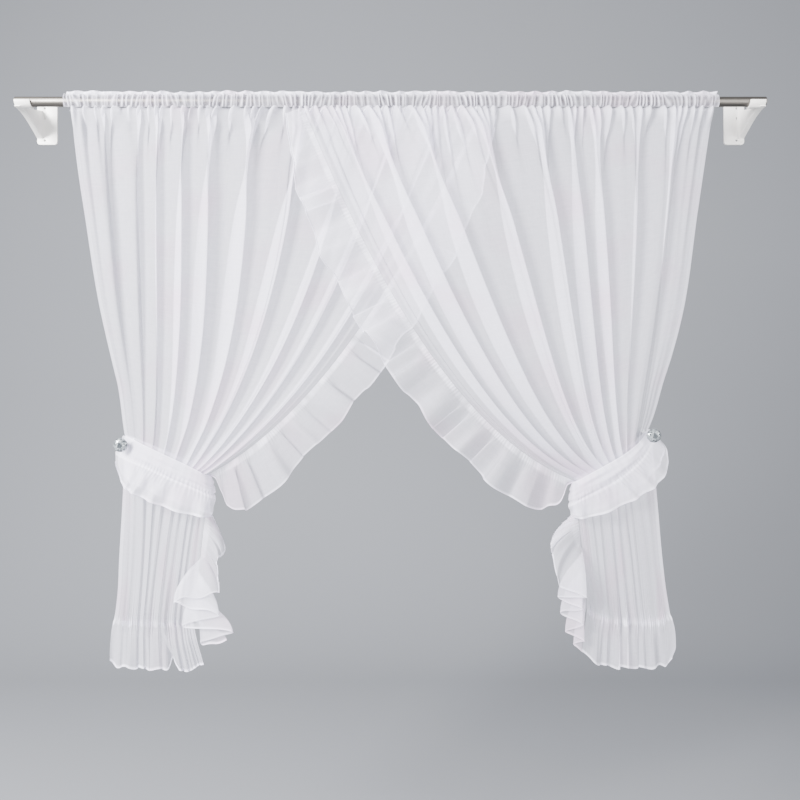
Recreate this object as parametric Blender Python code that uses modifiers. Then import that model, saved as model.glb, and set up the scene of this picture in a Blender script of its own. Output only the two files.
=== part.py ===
"""Criss-cross pair of sheer ruffled curtains on a round rod with two wall brackets.

Metres, +X to the right, +Z up, +Y into the wall. The origin lies on the wall, midway
between the brackets and level with the rod. Both panels hang from one gathered rod
pocket. The right panel crosses in front of the left one, and each is drawn to its own
side by a ruffled tie that hooks over a faceted knob.
"""

import math
from typing import NamedTuple

import bmesh
import bpy
from mathutils import Vector

COLLECTION_NAME = "ruffled_curtain"
CUTTER_COLLECTION_NAME = "ruffled_curtain_cutters"

# Gap that sewn or seated pieces keep to each other
SEAT_GAP = 0.0003
SIDE_SEAM_GAP = 0.0017
HEM_SEAM_GAP = 0.0005
TIE_SEAM_GAP = 0.0006
CLOTH_THICKNESS = 0.0010

# Rod
ROD_RADIUS = 0.010
ROD_LEFT_END = -0.7752
ROD_RIGHT_END = 0.7752
ROD_STANDOFF = 0.095
ROD_SIDES = 20

# Gathered rod pocket with its standing frill
POCKET_LEFT_END = -0.6717
POCKET_RIGHT_END = 0.6738
POCKET_STATIONS = 76
POCKET_BOTTOM = -0.0145
POCKET_CLEARANCE = 0.0004
FRILL_TOP = 0.0212
FRILL_SWAY = 0.0040
FRILL_RISE = 0.0018
GATHER_DEPTH = 0.0018
TUNNEL_SIDES = 12

# Panels
COLUMNS_PER_FOLD = 6
PANEL_TOP = POCKET_BOTTOM - SEAT_GAP
PANEL_ROWS = (0.0, 0.06, 0.15, 0.28, 0.42, 0.57, 0.72, 0.86, 1.0, 2.0, 2.3, 2.65, 3.0)
HEM_RUFFLE_ROWS = (3.0, 3.5, 4.0)
DEPTH_PER_PITCH = 1.3
EDGE_FOLD_SHARE = 0.15

# Waist, where the tie grips the panel
WAIST_HALF_HEIGHT = 0.023
WAIST_START = 0.009
WAIST_LENGTH = 0.186
WAIST_NARROW_SPAN = 0.045
WAIST_NARROW_DEPTH = 0.0045
WAIST_BACK_SHIFT = 0.011

# Side ruffles
STATIONS_PER_FLUTE = 6
RUFFLE_FLARE = (0.0, 0.22, 0.58, 1.0)
UNEVEN_FLUTE = 0.45
UNEVEN_RATE = 0.43
CASCADE_START = 2.12
CASCADE_FULL = 2.30
CASCADE_STEP = 0.032

# Ties
TIE_THICKNESS = 0.0012
TIE_UPRIGHT_START = 0.120
TIE_UPRIGHT_END = 0.205
TIE_RUFFLE_FLARE = 0.008
TIE_RUFFLE_FLUTE = 0.006
TIE_RUFFLE_PITCH = 0.040
TIE_RUFFLE_FAN = 0.25
TIE_STATIONS = 42
TIE_HOLE_RADIUS = 0.0042

# Knobs
STEM_RADIUS = 0.0035
STEM_LENGTH = 0.0692
KNOB_BASE_RADIUS = 0.011
KNOB_BASE_THICKNESS = 0.003
COLLAR_RADIUS = 0.0075
COLLAR_LENGTH = 0.004
CRYSTAL_RADIUS = 0.015
CRYSTAL_SIDES = 12

# Brackets
PLATE_WIDTH = 0.0435
PLATE_TOP = 0.030
PLATE_BOTTOM = -0.058
PLATE_THICKNESS = 0.004
RIB_WIDTH = 0.011
CUP_LENGTH = 0.0317
CUP_WALL = 0.0030
CUP_CLEARANCE = 0.0003
CUP_LIP = 0.002
SCREW_RADIUS = 0.0025
LEFT_PLATE_EDGE = -0.7742
RIGHT_PLATE_EDGE = 0.7728


class Fold(NamedTuple):
    """One main fold, from the outer edge inwards.

    Its shares of the panel's width at three heights, its depth factor, how far it leans
    over its neighbour as a share of its own width, and how much of both is left in the
    skirt below the tie.
    """

    heading: float
    tie: float
    hem: float
    depth: float
    lean: float
    skirt: float


class Level(NamedTuple):
    """What the folds of both panels do at one level of their length.

    Levels 0 to 1 run from the rod to the tie, 1 to 2 through the tie, 2 to 3 down to the
    hem seam, and 3 to 4 down the hem ruffle.
    """

    level: float
    depth: float
    lean: float
    layer: float
    set_back: float


class RuffleLevel(NamedTuple):
    """Where a side ruffle's free edge lies from its seam at one level.

    Reach is away from the panel, drop straight down and front towards the room. Flute is
    the depth of its waves and pitch their length along the seam.
    """

    level: float
    reach: float
    drop: float
    front: float
    flute: float
    pitch: float


class CascadeStop(NamedTuple):
    """One turn of a side ruffle's free edge in the cascade below the tie.

    The edge swings over and back from turn to turn. Reach is away from the panel, drop
    straight down and front towards the room, all from the seam at that level. The edge
    keeps its front along a swing and steps back round each turn, which spreads over the
    level by its turn to either side.
    """

    level: float
    reach: float
    drop: float
    front: float
    turn: float


class Panel(NamedTuple):
    """A panel's guide points as (x, z), from its outer and its inner edge."""

    name: str
    inward: int
    layer: int
    stem: tuple
    tie_slope: float
    outer: tuple
    inner: tuple
    skirt_outer: tuple
    skirt_inner: tuple
    hem_sag: float
    crossing: float
    folds: tuple
    cascade: tuple


LEVELS = (
    Level(0.00, 0.0020, 0.00, 0.0070, 0.000),
    Level(0.06, 0.0060, 0.25, 0.0110, 0.000),
    Level(0.15, 0.0105, 0.40, 0.0150, 0.001),
    Level(0.30, 0.0140, 0.75, 0.0185, 0.003),
    Level(0.60, 0.0150, 1.00, 0.0185, 0.009),
    Level(0.85, 0.0140, 0.90, 0.0070, 0.017),
    Level(1.00, 0.0150, 0.50, 0.0000, 0.023),
    Level(2.00, 0.0150, 0.50, 0.0000, 0.023),
    Level(2.40, 0.0110, 0.60, 0.0000, 0.021),
    Level(3.00, 0.0110, 0.60, 0.0000, 0.018),
    Level(4.00, 0.0180, 0.70, 0.0000, 0.016),
)

RUFFLE_LEVELS = (
    RuffleLevel(0.000, 0.036, 0.000, 0.002, 0.002, 0.080),
    RuffleLevel(0.120, 0.070, 0.000, 0.006, 0.006, 0.090),
    RuffleLevel(0.300, 0.088, 0.000, 0.008, 0.009, 0.100),
    RuffleLevel(0.750, 0.088, 0.000, 0.006, 0.009, 0.080),
    RuffleLevel(0.880, 0.062, 0.040, 0.004, 0.009, 0.070),
    RuffleLevel(0.950, 0.022, 0.075, 0.002, 0.008, 0.060),
    RuffleLevel(0.975, 0.018, 0.018, 0.000, 0.004, 0.060),
    RuffleLevel(0.985, 0.010, 0.000, -0.004, 0.001, 0.060),
    RuffleLevel(1.000, 0.0045, 0.000, -0.008, 0.000, 0.060),
    RuffleLevel(2.000, 0.0045, 0.000, -0.008, 0.000, 0.060),
    RuffleLevel(2.120, 0.006, 0.004, -0.006, 0.000, 0.050),
)

LEFT_PANEL = Panel(
    name="left",
    inward=1,
    layer=1,
    stem=(-0.5623, -0.7109),
    tie_slope=24.5,
    outer=((-0.659, PANEL_TOP), (-0.651, -0.203), (-0.580, -0.513)),
    inner=((0.182, PANEL_TOP), (0.057, -0.298), (-0.144, -0.650)),
    skirt_outer=((-0.566, -0.940), (-0.581, -1.076), (-0.588, -1.158)),
    skirt_inner=((-0.398, -0.930), (-0.414, -1.080), (-0.400, -1.165)),
    hem_sag=0.018,
    crossing=0.50,
    folds=(
        Fold(0.080, 0.070, 0.125, 0.6, 0.10, 0.25),
        Fold(0.085, 0.080, 0.060, 0.8, 0.15, 0.25),
        Fold(0.050, 0.130, 0.120, 0.8, 0.25, 0.35),
        Fold(0.065, 0.130, 0.080, 0.9, 0.45, 1.00),
        Fold(0.070, 0.140, 0.065, 1.0, 0.55, 0.80),
        Fold(0.100, 0.130, 0.130, 1.1, 0.60, 1.00),
        Fold(0.130, 0.080, 0.075, 1.1, 0.50, 0.70),
        Fold(0.135, 0.075, 0.110, 1.1, 0.40, 0.35),
        Fold(0.100, 0.060, 0.070, 1.0, 0.40, 0.90),
        Fold(0.105, 0.055, 0.095, 0.9, 0.40, 0.60),
        Fold(0.080, 0.050, 0.070, 0.8, 0.35, 0.40),
    ),
    cascade=(
        CascadeStop(2.120, 0.006, 0.004, -0.006, 0.010),
        CascadeStop(2.250, 0.049, 0.050, 0.046, 0.110),
        CascadeStop(2.360, 0.041, 0.038, 0.046, 0.030),
        CascadeStop(2.480, 0.048, 0.068, 0.042, 0.008),
        CascadeStop(2.575, -0.043, 0.075, 0.038, 0.008),
        CascadeStop(2.665, 0.052, 0.068, 0.034, 0.008),
        CascadeStop(2.745, -0.022, 0.077, 0.030, 0.008),
        CascadeStop(2.830, 0.084, 0.055, 0.025, 0.008),
        CascadeStop(2.910, 0.018, 0.063, 0.020, 0.008),
        CascadeStop(3.000, 0.075, 0.030, 0.016, 0.008),
    ),
)

RIGHT_PANEL = Panel(
    name="right",
    inward=-1,
    layer=-1,
    stem=(0.5484, -0.6911),
    tie_slope=35.0,
    outer=((0.667, PANEL_TOP), (0.632, -0.240), (0.611, -0.504)),
    inner=((-0.178, PANEL_TOP), (-0.059, -0.311), (0.125, -0.687)),
    skirt_outer=((0.569, -0.900), (0.586, -1.066), (0.596, -1.146)),
    skirt_inner=((0.402, -0.920), (0.411, -1.052), (0.401, -1.140)),
    hem_sag=0.034,
    crossing=0.50,
    folds=(
        Fold(0.090, 0.150, 0.110, 0.6, 0.10, 0.20),
        Fold(0.090, 0.140, 0.085, 0.8, 0.15, 0.20),
        Fold(0.105, 0.090, 0.130, 0.9, 0.30, 0.25),
        Fold(0.065, 0.110, 0.070, 1.0, 0.50, 0.45),
        Fold(0.080, 0.090, 0.120, 1.0, 0.45, 0.90),
        Fold(0.135, 0.085, 0.090, 1.1, 0.35, 1.00),
        Fold(0.155, 0.105, 0.130, 1.1, 0.40, 0.90),
        Fold(0.115, 0.090, 0.075, 1.1, 0.50, 0.50),
        Fold(0.085, 0.075, 0.110, 0.9, 0.55, 0.40),
        Fold(0.080, 0.065, 0.080, 0.8, 0.40, 0.30),
    ),
    cascade=(
        CascadeStop(2.120, 0.006, 0.004, -0.006, 0.010),
        CascadeStop(2.270, 0.062, 0.037, 0.047, 0.110),
        CascadeStop(2.410, 0.055, 0.078, 0.047, 0.030),
        CascadeStop(2.490, -0.018, 0.080, 0.043, 0.008),
        CascadeStop(2.560, 0.060, 0.071, 0.039, 0.008),
        CascadeStop(2.625, -0.012, 0.072, 0.035, 0.008),
        CascadeStop(2.690, 0.056, 0.074, 0.031, 0.008),
        CascadeStop(2.760, -0.006, 0.074, 0.027, 0.008),
        CascadeStop(2.830, 0.047, 0.082, 0.023, 0.008),
        CascadeStop(2.900, -0.004, 0.076, 0.020, 0.008),
        CascadeStop(2.960, 0.031, 0.078, 0.017, 0.008),
        CascadeStop(3.000, 0.012, 0.086, 0.015, 0.008),
    ),
)

PANELS = (LEFT_PANEL, RIGHT_PANEL)


class TieStation(NamedTuple):
    """One place on a tie's path round its panel.

    Its distance from the knob, its y, the rise of its middle line, half its band's
    height and the depth of its ruffle.
    """

    along: float
    y: float
    rise: float
    half_height: float
    frill: float


TIE_PATHS = {
    "left": (
        TieStation(-0.009, -0.0672, -0.002, 0.019, 0.046),
        TieStation(0.008, -0.0690, -0.002, 0.021, 0.052),
        TieStation(0.035, -0.0819, 0.000, 0.020, 0.057),
        TieStation(0.070, -0.0908, 0.002, 0.019, 0.060),
        TieStation(0.120, -0.0935, 0.002, 0.019, 0.060),
        TieStation(0.175, -0.0925, 0.002, 0.019, 0.054),
        TieStation(0.202, -0.0875, 0.000, 0.019, 0.045),
        TieStation(0.213, -0.0730, 0.000, 0.019, 0.042),
        TieStation(0.202, -0.0545, 0.000, 0.019, 0.045),
        TieStation(0.175, -0.0490, 0.002, 0.019, 0.052),
        TieStation(0.120, -0.0475, 0.002, 0.019, 0.056),
        TieStation(0.070, -0.0480, 0.002, 0.019, 0.056),
        TieStation(0.035, -0.0495, 0.000, 0.020, 0.054),
        TieStation(0.008, -0.0510, -0.002, 0.021, 0.050),
        TieStation(-0.009, -0.0520, -0.002, 0.019, 0.046),
    ),
    "right": (
        TieStation(-0.008, -0.0672, 0.000, 0.010, 0.046),
        TieStation(0.008, -0.0690, -0.002, 0.011, 0.052),
        TieStation(0.035, -0.0822, -0.008, 0.013, 0.058),
        TieStation(0.070, -0.0915, -0.011, 0.016, 0.058),
        TieStation(0.120, -0.0935, -0.010, 0.019, 0.052),
        TieStation(0.175, -0.0925, -0.004, 0.020, 0.044),
        TieStation(0.202, -0.0875, -0.002, 0.020, 0.033),
        TieStation(0.213, -0.0730, -0.002, 0.020, 0.028),
        TieStation(0.202, -0.0545, -0.002, 0.020, 0.033),
        TieStation(0.175, -0.0490, -0.004, 0.020, 0.045),
        TieStation(0.120, -0.0475, -0.010, 0.019, 0.050),
        TieStation(0.070, -0.0480, -0.011, 0.016, 0.052),
        TieStation(0.035, -0.0495, -0.008, 0.013, 0.050),
        TieStation(0.008, -0.0510, -0.002, 0.011, 0.048),
        TieStation(-0.008, -0.0520, 0.000, 0.010, 0.046),
    ),
}


def clear_scene():
    """Remove every object that a new file brings."""
    for scene_object in list(bpy.data.objects):
        bpy.data.objects.remove(scene_object, do_unlink=True)


def new_collection(name):
    """Return a new collection linked to the scene."""
    collection = bpy.data.collections.new(name)
    bpy.context.scene.collection.children.link(collection)
    return collection


def new_material(name, colour, roughness, metallic=0.0, alpha=1.0):
    """Return a Principled material with one colour and finish."""
    material = bpy.data.materials.new(name)
    material.use_nodes = True
    shader = material.node_tree.nodes["Principled BSDF"]
    shader.inputs["Base Color"].default_value = (*colour, 1.0)
    shader.inputs["Roughness"].default_value = roughness
    shader.inputs["Metallic"].default_value = metallic
    shader.inputs["Alpha"].default_value = alpha
    return material


def new_object(name, bm, material, collection):
    """Turn a bmesh into a named object with one material."""
    mesh = bpy.data.meshes.new(name)
    bm.to_mesh(mesh)
    bm.free()
    mesh.materials.append(material)
    part = bpy.data.objects.new(name, mesh)
    collection.objects.link(part)
    return part


def new_cutter(name, bm, collection):
    """Turn a bmesh into a hidden object that only cuts or joins."""
    mesh = bpy.data.meshes.new(name)
    bm.to_mesh(mesh)
    bm.free()
    cutter = bpy.data.objects.new(name, mesh)
    cutter.hide_render = True
    cutter.display_type = "WIRE"
    collection.objects.link(cutter)
    return cutter


def add_boolean(part, cutter, operation):
    """Cut a cutter out of a part, or join it to the part."""
    boolean = part.modifiers.new(cutter.name, "BOOLEAN")
    boolean.object = cutter
    boolean.operation = operation
    boolean.solver = "EXACT"


def lerp(start, end, share):
    """Return the number a share of the way from start to end."""
    return start + (end - start) * share


def lerp_point(start, end, share):
    """Return the (x, z) point a share of the way from start to end."""
    return (lerp(start[0], end[0], share), lerp(start[1], end[1], share))


def bezier(points, share):
    """Return the (x, z) point at a share of a Bezier curve of any degree."""
    while len(points) > 1:
        points = [lerp_point(a, b, share) for a, b in zip(points, points[1:])]
    return points[0]


def at_level(table, level):
    """Return a table's row values, interpolated between its rows, at a level."""
    for row, following in zip(table, table[1:]):
        if level <= following.level:
            share = (level - row.level) / (following.level - row.level)
            return type(row)(*(lerp(a, b, share) for a, b in zip(row, following)))
    return table[-1]


def smooth_step(value, start, end):
    """Return 0 before start, 1 after end, and a smooth rise between them."""
    share = min(max((value - start) / (end - start), 0.0), 1.0)
    return share * share * (3.0 - 2.0 * share)


def width_share(panel, across, column):
    """Return how far across the panel a place lies, by one width column of its folds."""
    widths = [getattr(fold, column) for fold in panel.folds]
    place = across * len(widths)
    whole = min(int(place), len(widths) - 1)
    return (sum(widths[:whole]) + widths[whole] * (place - whole)) / sum(widths)


def tie_axes(panel):
    """Return the direction along a panel's tie and the one up across it, as (x, z)."""
    slope = math.radians(panel.tie_slope)
    along = (panel.inward * math.cos(slope), -math.sin(slope))
    up = (panel.inward * math.sin(slope), math.cos(slope))
    return along, up


def tie_point(panel, along, up):
    """Return the (x, z) point at distances along and up across a panel's tie.

    The tie stands upright where it turns round the gathered cloth.
    """
    along_axis, up_axis = tie_axes(panel)
    upright = smooth_step(along, TIE_UPRIGHT_START, TIE_UPRIGHT_END)
    return (
        panel.stem[0] + along_axis[0] * along + lerp(up_axis[0], 0.0, upright) * up,
        panel.stem[1] + along_axis[1] * along + lerp(up_axis[1], 1.0, upright) * up,
    )


def drape_point(panel, across, level):
    """Return the (x, z) point of a panel's smooth drape, before its folds."""
    at_heading = width_share(panel, across, "heading")
    at_tie = width_share(panel, across, "tie")
    at_hem = width_share(panel, across, "hem")
    along = WAIST_START + WAIST_LENGTH * at_tie
    waist_top = tie_point(panel, along, WAIST_HALF_HEIGHT)
    waist_bottom = tie_point(panel, along, -WAIST_HALF_HEIGHT)
    if level <= 1.0:
        shares = (at_heading, at_heading, (at_heading + at_tie) / 2.0)
        guides = [lerp_point(*ends) for ends in zip(panel.outer, panel.inner, shares)]
        return bezier([*guides, waist_top], level)
    if level <= 2.0:
        return lerp_point(waist_top, waist_bottom, level - 1.0)
    middle, seam, foot = (
        lerp_point(outer, inner, at_hem)
        for outer, inner in zip(panel.skirt_outer, panel.skirt_inner)
    )
    if level <= 3.0:
        return bezier([waist_bottom, middle, seam], level - 2.0)
    x, z = lerp_point(seam, foot, level - 3.0)
    return (x, z - panel.hem_sag * (1.0 - (2.0 * at_hem - 1.0) ** 4) * (level - 3.0))


def drape_direction(panel, across, level):
    """Return the unit (x, z) direction across a panel's drape."""
    step = 0.25 / len(panel.folds)
    before = drape_point(panel, max(across - step, 0.0), level)
    after = drape_point(panel, min(across + step, 1.0), level)
    return Vector((after[0] - before[0], after[1] - before[1])).normalized()


def fold_width(panel, fold, level):
    """Return the width that one fold takes up across the drape."""
    start = drape_point(panel, fold / len(panel.folds), level)
    end = drape_point(panel, (fold + 1) / len(panel.folds), level)
    return math.dist(start, end)


def middle_y(panel, across, level):
    """Return the y of the plane about which a panel's folds swing."""
    row = at_level(LEVELS, level)
    crossing = smooth_step(across, panel.crossing - 0.15, panel.crossing + 0.05)
    y = -ROD_STANDOFF + panel.layer * crossing * row.layer + row.set_back
    along = WAIST_START + WAIST_LENGTH * width_share(panel, across, "tie")
    narrow = 1.0 - smooth_step(along, WAIST_START, WAIST_NARROW_SPAN)
    grip = smooth_step(level, 0.6, 1.0) * (1.0 - smooth_step(level, 2.0, 2.6))
    return y + WAIST_BACK_SHIFT * narrow * grip


def fold_swing(panel, across, level):
    """Return how far a fold swings out of its middle plane and along it."""
    row = at_level(LEVELS, level)
    place = across * len(panel.folds)
    fold = min(int(place), len(panel.folds) - 1)
    width = fold_width(panel, fold, level)
    left = lerp(1.0, panel.folds[fold].skirt, smooth_step(level, 2.0, 2.6))
    depth = min(row.depth * panel.folds[fold].depth, DEPTH_PER_PITCH * width) * left
    lean = row.lean * panel.folds[fold].lean * width * left
    if min(place, len(panel.folds) - place) < 0.5:
        depth *= EDGE_FOLD_SHARE
        lean = 0.0
    along = WAIST_START + WAIST_LENGTH * width_share(panel, across, "tie")
    open_share = smooth_step(along, WAIST_START, WAIST_NARROW_SPAN)
    waist_limit = lerp(WAIST_NARROW_DEPTH, row.depth, open_share)
    grip = smooth_step(level, 0.75, 1.0) * (1.0 - smooth_step(level, 2.0, 2.4))
    return lerp(depth, min(depth, waist_limit), grip), lean


def panel_point(panel, across, level):
    """Return a point of a panel's folded cloth."""
    x, z = drape_point(panel, across, level)
    direction = drape_direction(panel, across, level)
    depth, lean = fold_swing(panel, across, level)
    swing = math.sin(math.tau * ((across * len(panel.folds)) % 1.0))
    y = middle_y(panel, across, level) + panel.layer * depth * swing
    return Vector((x - direction.x * lean * swing, y, z - direction.y * lean * swing))


def new_sheet(name, columns, rows, place, thickness, material, collection):
    """Shape a grid with a place function and give it the cloth's thickness."""
    bm = bmesh.new()
    bmesh.ops.create_grid(bm, x_segments=len(columns) - 1, y_segments=len(rows) - 1, size=0.5)
    for vert in bm.verts:
        column = round((vert.co.x + 0.5) * (len(columns) - 1))
        row = round((0.5 - vert.co.y) * (len(rows) - 1))
        vert.co = place(columns[column], rows[row])
    bmesh.ops.triangulate(bm, faces=bm.faces, quad_method="SHORT_EDGE")
    sheet = new_object(name, bm, material, collection)
    solidify = sheet.modifiers.new("cloth thickness", "SOLIDIFY")
    solidify.thickness = thickness
    solidify.offset = 0.0
    solidify.use_even_offset = False
    return sheet


def build_panel(panel, material, collection):
    """Build one main panel from the rod pocket to its hem seam."""
    count = len(panel.folds) * COLUMNS_PER_FOLD
    columns = [index / count for index in range(count + 1)]

    def place(across, level):
        return panel_point(panel, across, level)

    name = f"panel_{panel.name}"
    new_sheet(name, columns, PANEL_ROWS, place, CLOTH_THICKNESS, material, collection)


def build_hem_ruffle(panel, material, collection):
    """Build the ruffle sewn under a panel's hem."""
    count = len(panel.folds) * COLUMNS_PER_FOLD
    columns = [index / count for index in range(count + 1)]

    def place(across, level):
        point = panel_point(panel, across, level)
        if level == HEM_RUFFLE_ROWS[0]:
            point.z -= HEM_SEAM_GAP
        return point

    name = f"hem_ruffle_{panel.name}"
    new_sheet(name, columns, HEM_RUFFLE_ROWS, place, CLOTH_THICKNESS, material, collection)


class SeamStop(NamedTuple):
    """A stop on the seam of a side ruffle: its level, its place, and the waves above it."""

    level: float
    point: Vector
    waves: float


def seam_stops(panel):
    """Return the stops along the inner edge at which a side ruffle is shaped."""
    levels = {*PANEL_ROWS, *(row.level for row in RUFFLE_LEVELS)}
    for turn in panel.cascade[1:-1]:
        sides = (0.0,) if turn.turn > 0.02 else (-turn.turn, turn.turn)
        levels.update(turn.level + side for side in sides)
    levels = sorted(levels)
    corners = {row: panel_point(panel, 1.0, row) for row in PANEL_ROWS}
    stops = [SeamStop(levels[0], corners[levels[0]], 0.0)]
    for level in levels[1:]:
        start = stops[-1]
        end = on_edge(corners, level)
        pitch = at_level(RUFFLE_LEVELS, (start.level + level) / 2.0).pitch
        steps = max(1, round((end - start.point).length / pitch * STATIONS_PER_FLUTE))
        if level > CASCADE_START:
            steps = max(1, round((level - start.level) / CASCADE_STEP))
        for step in range(1, steps + 1):
            share = step / steps
            place = start.point.lerp(end, share)
            waves = start.waves + step / STATIONS_PER_FLUTE
            stops.append(SeamStop(lerp(start.level, level, share), place, waves))
    return stops


def on_edge(corners, level):
    """Return the place at a level on the straight stretches between a panel's rows."""
    rows = sorted(corners)
    for row, following in zip(rows, rows[1:]):
        if level <= following:
            return corners[row].lerp(corners[following], (level - row) / (following - row))
    return corners[rows[-1]]


def seam_axis(panel, level):
    """Return the unit direction away from a panel's inner edge, in the plane of the wall."""
    above = drape_point(panel, 1.0, max(level - 0.03, 0.0))
    below = drape_point(panel, 1.0, min(level + 0.03, 4.0))
    down = Vector((below[0] - above[0], 0.0, below[1] - above[1])).normalized()
    return Vector((-down.z, 0.0, down.x)) * panel.inward


def ruffle_edge(panel, level):
    """Return how far a side ruffle's free edge lies from its seam: reach, drop and front."""
    if level <= CASCADE_START:
        row = at_level(RUFFLE_LEVELS, level)
        return row.reach, row.drop, row.front
    turns = list(zip(panel.cascade, panel.cascade[1:]))
    turn, following = next(pair for pair in turns if level <= pair[1].level + 1e-6)
    swing = smooth_step(level, turn.level, following.level)
    front = panel.cascade[0].front
    for before, after in turns:
        stepped = smooth_step(level, after.level - after.turn, after.level + after.turn)
        front += (after.front - before.front) * stepped
    return lerp(turn.reach, following.reach, swing), lerp(turn.drop, following.drop, swing), front


def side_ruffle_point(panel, stop, flare):
    """Return a point of a side ruffle; flare is 0 at its seam and 1 at its free edge.

    In the cascade the cloth spreads fast near its seam and turns over near its edge.
    """
    reach, drop, front = ruffle_edge(panel, stop.level)
    flute = at_level(RUFFLE_LEVELS, stop.level).flute
    away = seam_axis(panel, stop.level)
    phase = math.tau * stop.waves
    opening = flare * (2.0 - flare)
    spread = smooth_step(stop.level, CASCADE_START, CASCADE_FULL)
    wave = math.sin(phase) + UNEVEN_FLUTE * math.sin(phase * UNEVEN_RATE + 1.0)
    forward = (front + flute * wave) * opening
    sideways = SIDE_SEAM_GAP + reach * lerp(flare, opening, spread)
    fall = drop * flare ** lerp(1.0, 1.2, spread)
    return stop.point + away * sideways + Vector((0.0, -forward, -fall))


def build_side_ruffle(panel, material, collection):
    """Build the ruffle down a panel's inner edge, from the rod to the hem."""

    def place(stop, flare):
        return side_ruffle_point(panel, stop, flare)

    name = f"side_ruffle_{panel.name}"
    stops = seam_stops(panel)
    new_sheet(name, stops, RUFFLE_FLARE, place, CLOTH_THICKNESS, material, collection)


def tie_stations(panel):
    """Return evenly spread stations along a tie, smoothed through its table."""
    table = TIE_PATHS[panel.name]
    stations = []
    for index in range(TIE_STATIONS + 1):
        place = index / TIE_STATIONS * (len(table) - 1)
        row = min(int(place), len(table) - 2)
        share = place - row
        before, start, end, after = (
            table[min(max(row + offset, 0), len(table) - 1)] for offset in (-1, 0, 1, 2)
        )
        stations.append(TieStation(*(
            catmull_rom(values, share) for values in zip(before, start, end, after)
        )))
    return stations


def catmull_rom(values, share):
    """Return the number on a smooth curve between the middle two of four values."""
    a, b, c, d = values
    rise = (c - a) * share
    bend = (2.0 * a - 5.0 * b + 4.0 * c - d) * share ** 2
    twist = (3.0 * b - a - 3.0 * c + d) * share ** 3
    return b + 0.5 * (rise + bend + twist)


def build_tie_band(panel, material, collection, cutters):
    """Build a tie's plain band, both ends buttonholed over the knob's stem."""
    stations = tie_stations(panel)

    def place(index, side):
        station = stations[index]
        x, z = tie_point(panel, station.along, station.rise + station.half_height * side)
        return Vector((x, station.y, z))

    name = f"tie_band_{panel.name}"
    indices = list(range(len(stations)))
    band = new_sheet(name, indices, (1.0, -1.0), place, TIE_THICKNESS, material, collection)
    bm = bmesh.new()
    bmesh.ops.create_cone(
        bm, cap_ends=True, segments=12, radius1=TIE_HOLE_RADIUS, radius2=TIE_HOLE_RADIUS, depth=0.05,
    )
    hole = new_cutter(f"tie_hole_{panel.name}", bm, cutters)
    hole.rotation_euler = (math.pi / 2.0, 0.0, 0.0)
    hole.location = (panel.stem[0], -0.060, panel.stem[1])
    add_boolean(band, hole, "DIFFERENCE")


def build_tie_ruffle(panel, material, collection):
    """Build the ruffle gathered onto a tie's lower edge."""
    stations = tie_stations(panel)
    lengths = [0.0]
    for station, following in zip(stations, stations[1:]):
        step = math.hypot(following.along - station.along, following.y - station.y)
        lengths.append(lengths[-1] + step)
    middle = at_level(LEVELS, 1.0).set_back - ROD_STANDOFF
    along_axis, up_axis = tie_axes(panel)

    def place(index, flare):
        station = stations[index]
        x, z = tie_point(panel, station.along, station.rise - station.half_height - TIE_SEAM_GAP)
        upright = smooth_step(station.along, TIE_UPRIGHT_START, TIE_UPRIGHT_END)
        fan = TIE_RUFFLE_FAN * (1.0 - smooth_step(station.along, 0.0, TIE_UPRIGHT_END))
        fall = Vector((
            lerp(-up_axis[0], 0.0, upright) - along_axis[0] * fan,
            0.0,
            lerp(-up_axis[1], -1.0, upright) - along_axis[1] * fan,
        ))
        outward = min(max((station.y - middle) / 0.02, -1.0), 1.0)
        wave = math.sin(math.tau * lengths[index] / TIE_RUFFLE_PITCH) * TIE_RUFFLE_FLUTE
        y = station.y + outward * flare * (TIE_RUFFLE_FLARE + wave)
        return Vector((x, y, z)) + fall.normalized() * station.frill * flare

    indices = list(range(len(stations)))
    name = f"tie_ruffle_{panel.name}"
    new_sheet(name, indices, (0.0, 0.5, 1.0), place, TIE_THICKNESS, material, collection)


def pocket_section(ripple):
    """Return the rod pocket's outline as (y, z) about the rod, at one gather."""
    swell = 1.0 + ripple * GATHER_DEPTH / 0.013
    sway = ripple * FRILL_SWAY
    top = FRILL_TOP + ripple * FRILL_RISE
    return (
        (-0.0010 + sway, top),
        (-0.0014 + sway * 0.3, 0.0140),
        (-0.0088 * swell, 0.0112 * swell),
        (-0.0133 * swell, 0.0030),
        (-0.0130 * swell, -0.0070),
        (-0.0112, POCKET_BOTTOM),
        (0.0112, POCKET_BOTTOM),
        (0.0130 * swell, -0.0070),
        (0.0133 * swell, 0.0030),
        (0.0088 * swell, 0.0112 * swell),
        (0.0014 + sway * 0.3, 0.0140),
        (0.0010 + sway, top),
    )


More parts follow.
